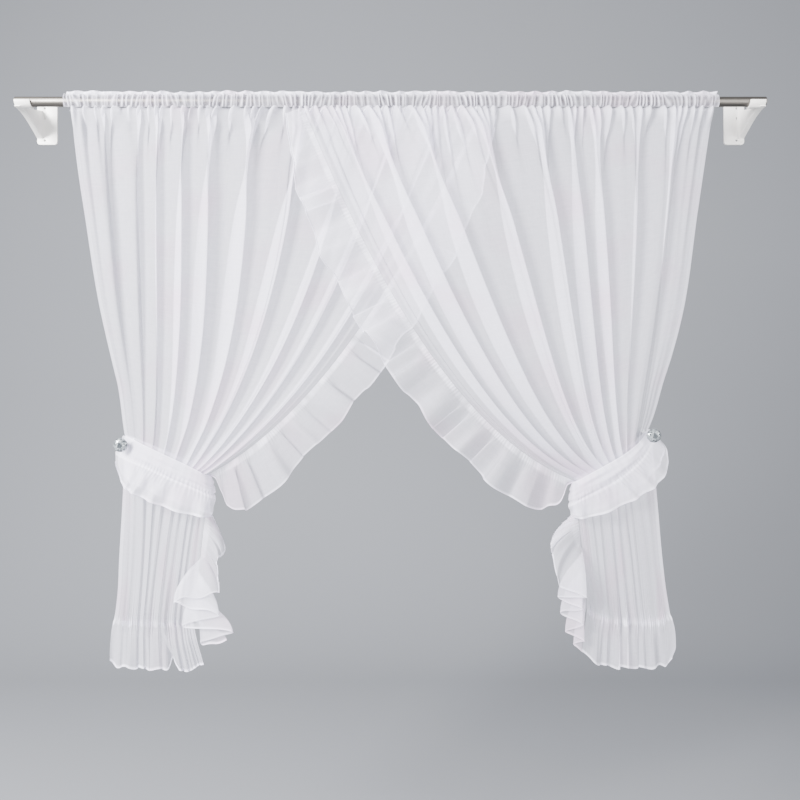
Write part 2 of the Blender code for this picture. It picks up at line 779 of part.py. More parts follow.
def build_heading(material, collection, cutters):
    """Build the gathered rod pocket that both panels are sewn into."""
    length = POCKET_RIGHT_END - POCKET_LEFT_END
    sides = len(pocket_section(0.0))
    bm = bmesh.new()
    bmesh.ops.create_cone(bm, cap_ends=True, segments=sides, radius1=1.0, radius2=1.0, depth=1.0)
    long_edges = [edge for edge in bm.edges if abs(edge.verts[0].co.z - edge.verts[1].co.z) > 0.5]
    bmesh.ops.subdivide_edges(bm, edges=long_edges, cuts=POCKET_STATIONS - 1, use_grid_fill=True)
    for vert in bm.verts:
        station = round((vert.co.z + 0.5) * POCKET_STATIONS)
        corner = round(math.atan2(vert.co.y, vert.co.x) / math.tau * sides) % sides
        uneven = 0.75 + 0.45 * math.sin(station * 0.9)
        ripple = math.sin(station * math.pi / 2.0 + math.pi / 4.0) * uneven
        y, z = pocket_section(ripple)[corner]
        x = POCKET_LEFT_END + length * station / POCKET_STATIONS
        vert.co = (x, y - ROD_STANDOFF, z)
    bmesh.ops.recalc_face_normals(bm, faces=bm.faces)
    heading = new_object("heading", bm, material, collection)
    bm = bmesh.new()
    radius = (ROD_RADIUS + POCKET_CLEARANCE) / math.cos(math.pi / TUNNEL_SIDES)
    bmesh.ops.create_cone(
        bm, cap_ends=True, segments=TUNNEL_SIDES, radius1=radius, radius2=radius, depth=1.1 * length
    )
    tunnel = new_cutter("rod_tunnel", bm, cutters)
    tunnel.rotation_euler = (0.0, math.pi / 2.0, 0.0)
    tunnel.location = (0.0, -ROD_STANDOFF, 0.0)
    add_boolean(heading, tunnel, "DIFFERENCE")


def build_rod(material, collection):
    """Build the straight round rod."""
    bm = bmesh.new()
    bmesh.ops.create_cone(
        bm, cap_ends=True, segments=ROD_SIDES, radius1=ROD_RADIUS, radius2=ROD_RADIUS,
        depth=ROD_RIGHT_END - ROD_LEFT_END,
    )
    rod = new_object("rod", bm, material, collection)
    rod.rotation_euler = (0.0, math.pi / 2.0, 0.0)
    rod.location = ((ROD_LEFT_END + ROD_RIGHT_END) / 2.0, -ROD_STANDOFF, 0.0)
    rod.data.shade_smooth()
    rod.data.set_sharp_from_angle(angle=math.radians(40.0))


def outline_object(name, outline, width, material, collection):
    """Extrude a closed (y, z) outline along X, centred on its object."""
    curve = bpy.data.curves.new(name, "CURVE")
    curve.dimensions = "2D"
    curve.fill_mode = "BOTH"
    curve.extrude = width / 2.0
    spline = curve.splines.new("POLY")
    spline.points.add(len(outline) - 1)
    for point, (y, z) in zip(spline.points, outline):
        point.co = (y, z, 0.0, 1.0)
    spline.use_cyclic_u = True
    guide = bpy.data.objects.new(name, curve)
    collection.objects.link(guide)
    guide.rotation_euler = (math.pi / 2.0, 0.0, math.pi / 2.0)
    bpy.context.view_layer.update()
    evaluated = guide.evaluated_get(bpy.context.evaluated_depsgraph_get())
    mesh = bpy.data.meshes.new_from_object(evaluated)
    bm = bmesh.new()
    bm.from_mesh(mesh)
    bmesh.ops.remove_doubles(bm, verts=bm.verts, dist=0.00001)
    bmesh.ops.recalc_face_normals(bm, faces=bm.faces)
    shape = new_object(name, bm, material, collection)
    shape.matrix_world = guide.matrix_world
    bpy.data.meshes.remove(mesh)
    bpy.data.objects.remove(guide, do_unlink=True)
    return shape


def arc(centre, radius, start, end, steps):
    """Return (y, z) points on an arc between two angles in degrees."""
    angles = [math.radians(lerp(start, end, index / steps)) for index in range(steps + 1)]
    return [(centre[0] + radius * math.cos(a), centre[1] + radius * math.sin(a)) for a in angles]


def rib_outline():
    """Return the outline of a bracket's rib, its lower edge one hollow curve."""
    front = -ROD_STANDOFF - 0.010
    foot = (-PLATE_THICKNESS / 2.0, -0.046)
    nose = (front, -0.0125)
    guides = [foot, (-0.028, -0.036), (-0.062, -0.012), nose]
    hollow = [bezier(guides, index / 10) for index in range(11)]
    cradle_radius = ROD_RADIUS + CUP_CLEARANCE + CUP_WALL / 2.0
    cradle = arc((-ROD_STANDOFF, 0.0), cradle_radius, 230.0, 350.0, 8)
    return [(-PLATE_THICKNESS / 2.0, 0.016), *hollow, *cradle, (-0.079, 0.000), (-0.040, 0.005)]


def cup_outline():
    """Return the outline of a bracket's open cup, the rod's seat."""
    inner = ROD_RADIUS + CUP_CLEARANCE
    lip = math.degrees(math.asin(CUP_LIP / inner))
    outer_arc = arc((-ROD_STANDOFF, 0.0), inner + CUP_WALL, 180.0 - lip, 360.0 + lip, 18)
    inner_arc = arc((-ROD_STANDOFF, 0.0), inner, 360.0 + lip, 180.0 - lip, 18)
    return [*outer_arc, *inner_arc]


def build_bracket(side, outer_edge, material, collection, cutters):
    """Build one moulded bracket: wall plate, side rib and rod cup in one piece."""
    inward = 1 if side == "left" else -1
    bm = bmesh.new()
    bmesh.ops.create_cube(bm, size=1.0)
    for vert in bm.verts:
        vert.co.x *= PLATE_WIDTH
        vert.co.y *= PLATE_THICKNESS
        vert.co.z *= PLATE_TOP - PLATE_BOTTOM
    upright = [edge for edge in bm.edges if abs(edge.verts[0].co.y - edge.verts[1].co.y) > 0.001]
    bmesh.ops.bevel(bm, geom=upright, offset=0.006, segments=3, affect="EDGES", profile=0.5)
    bracket = new_object(f"bracket_{side}", bm, material, collection)
    plate_x = outer_edge + inward * PLATE_WIDTH / 2.0
    bracket.location = (plate_x, -PLATE_THICKNESS / 2.0, (PLATE_TOP + PLATE_BOTTOM) / 2.0)

    rib = outline_object(f"bracket_rib_{side}", rib_outline(), RIB_WIDTH, material, cutters)
    rib.location.x = outer_edge + inward * (RIB_WIDTH / 2.0 + 0.0006)
    cup = outline_object(f"bracket_cup_{side}", cup_outline(), CUP_LENGTH, material, cutters)
    cup.location.x = outer_edge + inward * (CUP_LENGTH / 2.0 + 0.0012)
    for joined in (rib, cup):
        joined.hide_render = True
        joined.display_type = "WIRE"
        add_boolean(bracket, joined, "UNION")

    hole_x = outer_edge + inward * 0.0165
    for number, (z, stretch) in enumerate(((0.0212, 1.0), (-0.0005, 1.8), (-0.0490, 1.0))):
        bm = bmesh.new()
        bmesh.ops.create_cone(
            bm, cap_ends=True, segments=14, radius1=SCREW_RADIUS, radius2=SCREW_RADIUS, depth=0.02
        )
        if stretch > 1.0:
            for vert in bm.verts:
                vert.co.x *= 0.55
                vert.co.y *= stretch * 0.8
        hole = new_cutter(f"screw_hole_{side}_{number}", bm, cutters)
        hole.rotation_euler = (math.pi / 2.0, 0.0, 0.0)
        hole.location = (hole_x, -PLATE_THICKNESS / 2.0, z)
        add_boolean(bracket, hole, "DIFFERENCE")


def turned_object(name, profile, sides, smooth, material, collection):
    """Turn a (radius, height) profile about Z into a closed solid."""
    mesh = bpy.data.meshes.new(name)
    bm = bmesh.new()
    verts = [bm.verts.new((radius, 0.0, height)) for radius, height in profile]
    for start, end in zip(verts, verts[1:]):
        bm.edges.new((start, end))
    bm.to_mesh(mesh)
    bm.free()
    mesh.materials.append(material)
    turned = bpy.data.objects.new(name, mesh)
    collection.objects.link(turned)
    screw = turned.modifiers.new("turn", "SCREW")
    screw.steps = sides
    screw.render_steps = sides
    screw.use_merge_vertices = True
    screw.merge_threshold = 0.00001
    screw.use_smooth_shade = smooth
    return turned


def build_knob(panel, metal, glass, collection):
    """Build a hold-back knob: turned metal base, stem and collar, and a cut crystal."""
    stem_end = STEM_LENGTH
    profile = (
        (0.0, stem_end + COLLAR_LENGTH),
        (COLLAR_RADIUS, stem_end + COLLAR_LENGTH),
        (STEM_RADIUS, stem_end),
        (STEM_RADIUS, KNOB_BASE_THICKNESS),
        (KNOB_BASE_RADIUS, KNOB_BASE_THICKNESS * 0.6),
        (KNOB_BASE_RADIUS, 0.0),
        (0.0, 0.0),
    )
    stem = turned_object(f"knob_stem_{panel.name}", profile, 16, True, metal, collection)
    seat = stem_end + COLLAR_LENGTH + SEAT_GAP
    cut = (
        (0.0, seat + 0.0215),
        (CRYSTAL_RADIUS * 0.48, seat + 0.0215),
        (CRYSTAL_RADIUS * 0.86, seat + 0.0165),
        (CRYSTAL_RADIUS, seat + 0.0105),
        (CRYSTAL_RADIUS * 0.80, seat + 0.0040),
        (COLLAR_RADIUS, seat),
        (0.0, seat),
    )
    name = f"crystal_{panel.name}"
    crystal = turned_object(name, cut, CRYSTAL_SIDES, False, glass, collection)
    for piece in (stem, crystal):
        piece.rotation_euler = (math.pi / 2.0, 0.0, 0.0)
        piece.location = (panel.stem[0], 0.0, panel.stem[1])


def main():
    """Build every piece of the curtain."""
    clear_scene()
    collection = new_collection(COLLECTION_NAME)
    cutters = new_collection(CUTTER_COLLECTION_NAME)
    voile = new_material("white voile", (0.86, 0.86, 0.90), 0.85, alpha=0.6)
    steel = new_material("brushed steel", (0.62, 0.60, 0.57), 0.35, metallic=1.0)
    plastic = new_material("moulded white plastic", (0.82, 0.82, 0.80), 0.45)
    chrome = new_material("polished chrome", (0.75, 0.76, 0.78), 0.15, metallic=1.0)
    crystal = new_material("cut crystal", (0.90, 0.93, 0.94), 0.05, alpha=0.5)

    build_rod(steel, collection)
    build_heading(voile, collection, cutters)
    build_bracket("left", LEFT_PLATE_EDGE, plastic, collection, cutters)
    build_bracket("right", RIGHT_PLATE_EDGE, plastic, collection, cutters)
    for panel in PANELS:
        build_panel(panel, voile, collection)
        build_side_ruffle(panel, voile, collection)
        build_hem_ruffle(panel, voile, collection)
        build_tie_band(panel, voile, collection, cutters)
        build_tie_ruffle(panel, voile, collection)
        build_knob(panel, chrome, crystal, collection)


main()
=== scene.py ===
"""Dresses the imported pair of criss-cross ruffled curtains.

Metres, +X to the right, +Z up, +Y into the wall. Each cloth piece is a thin sheet laid on
the folds of its solid, with the gathers, creases, puckered seams and rolled hems that the
solids are too coarse to carry. The fittings get their rounded edges, cut facets and
finishes.
"""

import logging
import math
from dataclasses import dataclass
from enum import Enum
from functools import partial
from typing import Callable, NamedTuple, Optional, Sequence

import bpy
import numpy as np
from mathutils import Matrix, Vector


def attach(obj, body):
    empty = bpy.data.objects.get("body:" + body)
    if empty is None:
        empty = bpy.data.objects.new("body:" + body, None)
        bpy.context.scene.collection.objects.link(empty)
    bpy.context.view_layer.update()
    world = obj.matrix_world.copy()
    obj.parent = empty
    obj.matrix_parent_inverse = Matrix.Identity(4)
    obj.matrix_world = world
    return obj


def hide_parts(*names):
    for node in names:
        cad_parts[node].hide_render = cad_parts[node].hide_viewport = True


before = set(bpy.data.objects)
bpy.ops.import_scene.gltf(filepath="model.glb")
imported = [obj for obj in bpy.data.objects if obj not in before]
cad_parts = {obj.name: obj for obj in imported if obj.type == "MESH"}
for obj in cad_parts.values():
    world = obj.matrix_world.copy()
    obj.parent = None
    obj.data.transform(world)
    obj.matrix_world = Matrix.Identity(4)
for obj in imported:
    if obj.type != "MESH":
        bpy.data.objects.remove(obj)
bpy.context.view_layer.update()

LOG = logging.getLogger("curtain")
Array = np.ndarray
BODY = "root"

# Rod and pocket
ROD_RADIUS = 0.010
ROD_LEFT_END = -0.7752
ROD_RIGHT_END = 0.7752
ROD_STANDOFF = 0.095
POCKET_LEFT_END = -0.6717
POCKET_RIGHT_END = 0.6738
POCKET_BOTTOM = -0.0145
FRILL_TOP = 0.0212
PANEL_TOP = -0.0148

# Waist, where the tie grips the panel, spans from the knob or in levels
WAIST_HALF_HEIGHT = 0.023
WAIST_START = 0.009
WAIST_LENGTH = 0.186
WAIST_NARROW_SPAN = 0.045
WAIST_NARROW_DEPTH = 0.0045
WAIST_BACK_SHIFT = 0.011
FRONT_TIE_STATIONS = 8
BEND_UNDER_TIE = 0.001
WAIST_TOP_BLEND = (0.020, 0.055)
BACK_SHIFT_IN = (0.6, 1.0)
BACK_SHIFT_OUT = (2.0, 2.6)
GRIP_IN = (0.75, 1.0)
GRIP_OUT = (2.0, 2.4)

# Folds and gathers of the panels, their spans in shares of the width or in levels
OUTER_CALM = 0.14
INNER_CALM = 0.88
OUTER_BULGE = 0.006
OUTER_CORNER = 0.011
SKIRT_SIDE_SHARE = 0.13
SKIRT_CORNER_SHARE = 0.22
DEPTH_PER_PITCH = 1.3
EDGE_FOLD_SHARE = 0.15
EDGE_FOLD_SPAN = (0.30, 0.70)
CROSSING_SPAN = (-0.15, 0.05)
CALM_ACROSS = (0.10, 0.38)
CALM_LEVELS = (0.25, 0.90)
SKIRT_LEVELS = (1.6, 2.4)
GATHER_PER_PITCH = 0.30
EVEN_ACROSS = (0.16, 0.40)
EVEN_LEVELS = (0.25, 0.60)
EVEN_SHARE = 0.75
CRINKLES = ((1.0, 2.6, 0.0), (0.7, 1.7, 1.0))
BULGE_ACROSS = (0.0, 0.16)
BULGE_LEVELS = (0.30, 0.60)
BULGE_CORNER_LEVELS = (0.80, 1.0)
BULGE_END = (1.0, 1.4)

# Side ruffles
PANEL_ROWS = (0.0, 0.06, 0.15, 0.28, 0.42, 0.57, 0.72, 0.86, 1.0, 2.0, 2.3, 2.65, 3.0)
STATIONS_PER_FLUTE = 6
UNEVEN_FLUTE = 0.45
UNEVEN_RATE = 0.43
RUFFLE_STOPS = (0.0, 0.12, 0.30, 0.75, 0.88, 0.95, 0.975, 0.985, 1.0, 2.0, 2.12)
CASCADE_START = 2.12
CASCADE_FULL = 2.30
SIDE_SEAM_GAP = 0.0008
SEAM_STRIP = 0.011

# Ties
TIE_UPRIGHT_START = 0.120
TIE_UPRIGHT_END = 0.205
TIE_RUFFLE_FLARE = 0.008
TIE_RUFFLE_FLUTE = 0.006
TIE_RUFFLE_PITCH = 0.040
TIE_RUFFLE_FAN = 0.25

# Knobs
COLLAR_END = 0.0732
CRYSTAL_RADIUS = 0.015

# Rolled hem along every free edge
ROLL_RADIUS = 0.0008
ROLL_TURNS = (60.0, 130.0, 200.0, 270.0, 340.0)
HEM_THREAD = (0.002, 0.004)


class Fold(NamedTuple):
    """One main fold, from the outer edge inwards.

    Its shares of the panel's width at three heights, its depth factor, how far it leans
    over its neighbour as a share of its own width, and how much of both is left in the
    skirt below the tie.
    """

    heading: float
    tie: float
    hem: float
    depth: float
    lean: float
    skirt: float


class Level(NamedTuple):
    """What the main folds do at one level of a panel's length.

    Levels 0 to 1 run from the rod to the tie, 1 to 2 through the tie, 2 to 3 down to the
    hem seam, and 3 to 4 down the hem ruffle.
    """

    level: float
    depth: float
    lean: float
    layer: float
    set_back: float


class GatherLevel(NamedTuple):
    """What the small gathers between the main folds do at one level.

    Depth is that of one gather, shear how far it leans over for each unit of depth, and
    pucker the depth of the stitched crinkles beside a seam.
    """

    level: float
    depth: float
    shear: float
    pucker: float


class SideLevel(NamedTuple):
    """How far a skirt's outer edge lies out and down from its straight line at one level."""

    level: float
    out: float
    down: float


class RuffleLevel(NamedTuple):
    """Where a side ruffle's free edge lies from its seam at one level.

    Reach is away from the panel, drop straight down and front towards the room. Flute is
    the depth of its waves and pitch their length along the seam.
    """

    level: float
    reach: float
    drop: float
    front: float
    flute: float
    pitch: float


class CascadeStop(NamedTuple):
    """One turn of a side ruffle's free edge in the cascade below the tie.

    The edge swings over and back from turn to turn. Reach is away from the panel, drop
    straight down and front towards the room, all from the seam at that level. The edge
    keeps its front along a swing and steps back round each turn, which spreads over the
    level by its turn to either side.
    """

    level: float
    reach: float
    drop: float
    front: float
    turn: float


class TieStation(NamedTuple):
    """One place on a tie's path round its panel.

    Its distance from the knob, its y, the rise of its middle line, half its band's
    height and the depth of its ruffle.
    """

    along: float
    y: float
    rise: float
    half_height: float
    frill: float


def table(kind: type, *rows: tuple) -> tuple:
    """Return rows of plain values as rows of one kind."""
    return tuple(kind(*row) for row in rows)


LEVELS = table(
    Level,
    (0.00, 0.0020, 0.00, 0.0070, 0.000),
    (0.06, 0.0060, 0.25, 0.0110, 0.000),
    (0.15, 0.0105, 0.40, 0.0150, 0.001),
    (0.30, 0.0140, 0.75, 0.0185, 0.003),
    (0.60, 0.0150, 1.00, 0.0185, 0.009),
    (0.85, 0.0140, 0.90, 0.0070, 0.017),
    (1.00, 0.0150, 0.50, 0.0000, 0.023),
    (2.00, 0.0150, 0.50, 0.0000, 0.023),
    (2.40, 0.0110, 0.60, 0.0000, 0.021),
    (3.00, 0.0110, 0.60, 0.0000, 0.018),
    (4.00, 0.0180, 0.70, 0.0000, 0.016),
)

GATHER_LEVELS = table(
    GatherLevel,
    (0.00, 0.0026, 0.8, 0.0010),
    (0.010, 0.0062, 1.2, 0.0006),
    (0.04, 0.0056, 1.3, 0.0000),
    (0.09, 0.0030, 1.2, 0.0000),
    (0.20, 0.0013, 1.0, 0.0000),
    (0.60, 0.0009, 0.8, 0.0000),
    (1.00, 0.0010, 0.8, 0.0000),
    (2.00, 0.0009, 0.8, 0.0000),
    (2.20, 0.0003, 0.6, 0.0000),
    (2.50, 0.0002, 0.6, 0.0000),
    (2.93, 0.0002, 0.6, 0.0003),
    (3.00, 0.0004, 0.6, 0.0009),
    (3.10, 0.0007, 0.8, 0.0006),
    (3.35, 0.0003, 0.8, 0.0001),
    (4.00, 0.0002, 0.8, 0.0000),
)

RUFFLE_LEVELS = table(
    RuffleLevel,
    (0.000, 0.036, 0.000, 0.002, 0.002, 0.080),
    (0.120, 0.070, 0.000, 0.006, 0.006, 0.090),
    (0.300, 0.088, 0.000, 0.008, 0.009, 0.100),
    (0.750, 0.088, 0.000, 0.006, 0.009, 0.080),
    (0.880, 0.066, 0.044, 0.004, 0.009, 0.070),
    (0.930, 0.042, 0.070, 0.003, 0.008, 0.065),
    (0.955, 0.022, 0.066, 0.002, 0.006, 0.060),
    (0.972, 0.012, 0.036, 0.000, 0.003, 0.060),
    (0.985, 0.008, 0.006, -0.004, 0.001, 0.060),
    (1.000, 0.0045, 0.000, -0.008, 0.000, 0.060),
    (2.000, 0.0045, 0.000, -0.008, 0.000, 0.060),
    (2.120, 0.006, 0.004, -0.006, 0.000, 0.050),
)


def smooth_step(value: Array, start: float, end: float) -> Array:
    """Return 0 before start, 1 after end, and a smooth rise between them.

    Args:
        value: the places to read.
        start: where the rise begins.
        end: where it is complete.

    Returns:
        The rise at each place.
    """
    share = np.clip((np.asarray(value, float) - start) / (end - start), 0.0, 1.0)
    return share * share * (3.0 - 2.0 * share)


def lerp(start: Array, end: Array, share: Array) -> Array:
    """Return the values a share of the way from start to end."""
    return start + (end - start) * share


def fade(value: Array, start: float, end: float) -> Array:
    """Return 1 before start, 0 after end, and a smooth fall between them."""
    return 1.0 - smooth_step(value, start, end)


def ripples(place: Array, *waves: tuple) -> Array:
    """Return a sum of sine waves, each given by its size, its rate and its start."""
    return sum(size * np.sin(rate * place + start) for size, rate, start in waves)


def running(steps: Array) -> Array:
    """Return the running total of a row of steps, from zero."""
    return np.concatenate([[0.0], np.cumsum(steps)])


def flow(stops: Sequence[float], values: Sequence[float], places: Array) -> Array:
    """Run a smooth curve through stops without swinging past any of them.

    Args:
        stops: rising places of the known values.
        values: the known values.
        places: where the curve is read.

    Returns:
        The curve's value at each place.
    """
    stops = np.asarray(stops, float)
    values = np.asarray(values, float)
    step = np.diff(stops)
    rise = np.diff(values) / step
    slope = np.concatenate([rise[:1], np.zeros(len(rise) - 1), rise[-1:]])
    before, after = rise[:-1], rise[1:]
    same = before * after > 0.0
    first = 2.0 * step[1:] + step[:-1]
    second = step[1:] + 2.0 * step[:-1]
    before, after = np.where(same, before, 1.0), np.where(same, after, 1.0)
    inner = (first + second) / (first / before + second / after)
    slope[1:-1] = np.where(same, inner, 0.0)
    places = np.clip(np.asarray(places, float), stops[0], stops[-1])
    row = np.clip(np.searchsorted(stops, places, side="right") - 1, 0, len(step) - 1)
    share = (places - stops[row]) / step[row]
    square, cube = share ** 2, share ** 3
    return (
        (2.0 * cube - 3.0 * square + 1.0) * values[row]
        + (cube - 2.0 * square + share) * step[row] * slope[row]
        + (3.0 * square - 2.0 * cube) * values[row + 1]
        + (cube - square) * step[row] * slope[row + 1]
    )


def column(table: Sequence[NamedTuple], name: str, level: Array) -> Array:
    """Read one named column of a table of levels, smoothly between its rows."""
    return flow([row.level for row in table], [getattr(row, name) for row in table], level)


def bezier(points: Sequence[Array], share: Array) -> Array:
    """Return the points at a share of a Bezier curve of any degree.

    Args:
        points: the curve's control points.
        share: shares of the way along it.

    Returns:
        The points on the curve.
    """
    points = list(points)
    while len(points) > 1:
        points = [lerp(a, b, share) for a, b in zip(points, points[1:])]
    return points[0]


def unit(vectors: Array) -> Array:
    """Return vectors scaled to length one."""
    size = np.linalg.norm(vectors, axis=-1, keepdims=True)
    return vectors / np.maximum(size, 1e-9)


def planar(points: Array, y: Array) -> Array:
    """Turn (x, z) points and their y into (x, y, z) points."""
    return np.stack([points[..., 0], np.broadcast_to(y, points.shape[:-1]), points[..., 1]], -1)


@dataclass(frozen=True)
class Panel:
    """A curtain panel's guide points as (x, z), from its outer and its inner edge."""

    name: str
    inward: int
    layer: int
    stem: tuple
    tie_slope: float
    tie_hang: float
    outer: tuple
    inner: tuple
    skirt_outer: tuple
    skirt_inner: tuple
    seam_sag: float
    hem_sag: float
    hem_notch: float
    crossing: float
    gathers: int
    folds: tuple
    skirt_side: tuple
    ruffle_drop: float
    cascade: tuple
    tie: tuple

    def share(self, across: Array, name: str) -> Array:
        """Return how far across the panel a place lies, by one width column of its folds.

        Args:
            across: places, with an equal step to each fold.
            name: the width column, "heading", "tie" or "hem".

        Returns:
            The places as shares of the real width there.
        """
        widths = [getattr(fold, name) for fold in self.folds]
        sums = running(widths) / sum(widths)
        return flow(np.arange(len(widths) + 1), sums, across * len(widths))

    def fold_value(self, across: Array, name: str) -> Array:
        """Return a fold column's value at a place, smooth from fold to fold."""
        values = [getattr(fold, name) for fold in self.folds]
        return flow(np.arange(len(values)) + 0.5, values, across * len(values))

    def tie_axes(self) -> tuple:
        """Return the direction along the tie and the one up across it, as (x, z).

        Returns:
            Both unit directions.
        """
        slope = math.radians(self.tie_slope)
        along = np.array((self.inward * math.cos(slope), -math.sin(slope)))
        up = np.array((self.inward * math.sin(slope), math.cos(slope)))
        return along, up

    def tie_point(self, along: Array, up: Array) -> Array:
        """Return (x, z) points at distances along and up across the tie.

        Args:
            along: distances from the knob.
            up: distances above the tie's middle line.

        Returns:
            The points, the tie turned upright where it rounds the gathered cloth.
        """
        along, up = np.broadcast_arrays(np.asarray(along, float), np.asarray(up, float))
        along_axis, up_axis = self.tie_axes()
        upright = smooth_step(along, TIE_UPRIGHT_START, TIE_UPRIGHT_END)[..., None]
        leaning = lerp(up_axis, np.array((0.0, 1.0)), upright)
        return np.array(self.stem) + along_axis * along[..., None] + leaning * up[..., None]

    def waist_top(self, along: Array) -> Array:
        """Return how high above the tie's middle line the folds bend to run under it.

        Args:
            along: distances from the knob.

        Returns:
            The height at each distance.
        """
        front = self.tie[:FRONT_TIE_STATIONS]
        edges = [row.rise + row.half_height - BEND_UNDER_TIE for row in front]
        hidden = np.interp(along, [row.along for row in front], edges)
        return lerp(WAIST_HALF_HEIGHT, hidden, smooth_step(along, *WAIST_TOP_BLEND))

    def along_waist(self, across: Array) -> Array:
        """Return how far from the knob the cloth at a place across passes under the tie."""
        return WAIST_START + WAIST_LENGTH * self.share(across, "tie")

    def drape(self, across: Array, level: Array) -> Array:
        """Return the (x, z) points of the smooth drape, before its folds.

        Args:
            across: shares of the way from the outer to the inner edge.
            level: levels down the panel, broadcast against across.

        Returns:
            The points.
        """
        across, level = np.broadcast_arrays(np.asarray(across, float), np.asarray(level, float))
        heading, tie, hem = (
            self.share(across, name)[..., None] for name in ("heading", "tie", "hem")
        )
        along = self.along_waist(across)
        top = self.tie_point(along, self.waist_top(along))
        bottom = self.tie_point(along, -WAIST_HALF_HEIGHT)
        guides = [
            lerp(np.array(outer), np.array(inner), share)
            for outer, inner, share in zip(
                self.outer, self.inner, (heading, heading, (heading + tie) / 2.0)
            )
        ]
        upper = bezier([*guides, top], np.clip(level, 0.0, 1.0)[..., None])
        waist = lerp(top, bottom, np.clip(level - 1.0, 0.0, 1.0)[..., None])
        middle, seam, foot = (
            lerp(np.array(outer), np.array(inner), hem)
            for outer, inner in zip(self.skirt_outer, self.skirt_inner)
        )
        bow = 1.0 - (2.0 * hem[..., 0] - 1.0) ** 4
        seam[..., 1] -= self.seam_sag * bow
        skirt = bezier([bottom, middle, seam], np.clip(level - 2.0, 0.0, 1.0)[..., None])
        below = np.clip(level - 3.0, 0.0, 1.0)
        frill = lerp(seam, foot, below[..., None])
        frill[..., 1] -= self.hem_sag * bow * below
        level = level[..., None]
        lower = np.where(level <= 2.0, waist, np.where(level <= 3.0, skirt, frill))
        return np.where(level <= 1.0, upper, lower)

    def middle_y(self, across: Array, level: Array) -> Array:
        """Return the y of the plane about which the folds swing.

        Args:
            across: shares of the way from the outer to the inner edge.
            level: levels down the panel.

        Returns:
            The y at each place.
        """
        crossing = smooth_step(across - self.crossing, *CROSSING_SPAN)
        y = self.layer * crossing * column(LEVELS, "layer", level)
        y = y + column(LEVELS, "set_back", level) - ROD_STANDOFF
        narrow = fade(self.along_waist(across), WAIST_START, WAIST_NARROW_SPAN)
        grip = smooth_step(level, *BACK_SHIFT_IN) * fade(level, *BACK_SHIFT_OUT)
        return y + WAIST_BACK_SHIFT * narrow * grip

    def edge_point(self, level: Array) -> Array:
        """Return the points of the inner edge, where the side ruffle is sewn on."""
        ones = np.ones_like(level)
        return planar(self.drape(ones, level), self.middle_y(ones, level))

    def cloth(self, across: Array, level: Array) -> Array:
        """Return the points of the folded and gathered cloth.

        Every fold is a wave in depth, sheared along the cloth by its own depth, so that
        it lies over its neighbour in three layers and never cuts through itself.

        Args:
            across: shares of the width, as a row.
            level: levels down the panel, as a column.

        Returns:
            The points, a row for each level.
        """
        across, level = np.broadcast_arrays(across[None, :], level[:, None])
        count = len(self.folds)
        drape = self.drape(across, level)
        run = np.gradient(drape, axis=1)
        direction = unit(run)
        place = across * count
        width = np.linalg.norm(run, axis=-1) / np.gradient(place, axis=1)
        from_edge = np.minimum(place, count - place)
        edge = smooth_step(from_edge, *EDGE_FOLD_SPAN)

        near_tie = lerp(OUTER_CALM, INNER_CALM, smooth_step(across, *CALM_ACROSS))
        left = lerp(1.0, near_tie, smooth_step(level, *CALM_LEVELS))
        left = lerp(left, self.fold_value(across, "skirt"), smooth_step(level, *SKIRT_LEVELS))
        full_depth = column(LEVELS, "depth", level)
        depth = full_depth * self.fold_value(across, "depth")
        depth = np.minimum(depth, DEPTH_PER_PITCH * width) * left
        opened = smooth_step(self.along_waist(across), WAIST_START, WAIST_NARROW_SPAN)
        limit = lerp(WAIST_NARROW_DEPTH, full_depth, opened)
        grip = smooth_step(level, *GRIP_IN) * fade(level, *GRIP_OUT)
        depth = lerp(depth, np.minimum(depth, limit), grip)
        depth = depth * lerp(EDGE_FOLD_SHARE, 1.0, edge)
        lean = column(LEVELS, "lean", level) * self.fold_value(across, "lean") * width * edge * left
        shear = lean / np.maximum(depth, 0.0005)

        gather = self.gather_phase(across)
        pitch = np.linalg.norm(run, axis=-1) / np.gradient(gather, axis=1)
        small = column(GATHER_LEVELS, "depth", level) * self.gather_size(across, level)
        small = np.minimum(small, GATHER_PER_PITCH * pitch) * np.minimum(1.0, 3.0 * from_edge)
        even = fade(across, *EVEN_ACROSS) * smooth_step(level, *EVEN_LEVELS)
        small = small * (1.0 - EVEN_SHARE * even)
        least = column(GATHER_LEVELS, "shear", level) * edge
        shear = (shear ** 4 + least ** 4) ** 0.25
        crinkle = ripples(math.tau * gather, *CRINKLES) * self.gather_size(across, level + 5.0)
        pucker = column(GATHER_LEVELS, "pucker", level) * crinkle

        out = depth * np.sin(math.tau * place) + small * np.sin(math.tau * gather) + pucker * edge
        points = planar(drape - direction * (shear * out)[..., None], self.middle_y(across, level))
        points[..., 1] += self.layer * out
        bulge = OUTER_BULGE * smooth_step(level, *BULGE_LEVELS)
        bulge = bulge + OUTER_CORNER * smooth_step(level, *BULGE_CORNER_LEVELS)
        shift = bulge * fade(across, *BULGE_ACROSS) * fade(level, *BULGE_END)
        side = fade(across, 0.0, SKIRT_SIDE_SHARE) * column(self.skirt_side, "out", level)
        points[..., 0] -= self.inward * (shift + side)
        corner = fade(across, 0.0, SKIRT_CORNER_SHARE)
        points[..., 2] -= corner * column(self.skirt_side, "down", level)
        return points

    def gather_phase(self, across: Array) -> Array:
        """Return the running count of small gathers, unevenly wide, at places across.

        Args:
            across: shares of the way from the outer to the inner edge.

        Returns:
            The count at each place, zero at the outer edge.
        """
        heading = self.share(across, "heading")
        waves = (0.40, 21.0, self.inward), (0.22, 52.0, 2.0)
        return self.gathers * heading + ripples(heading, *waves) - ripples(0.0, *waves)

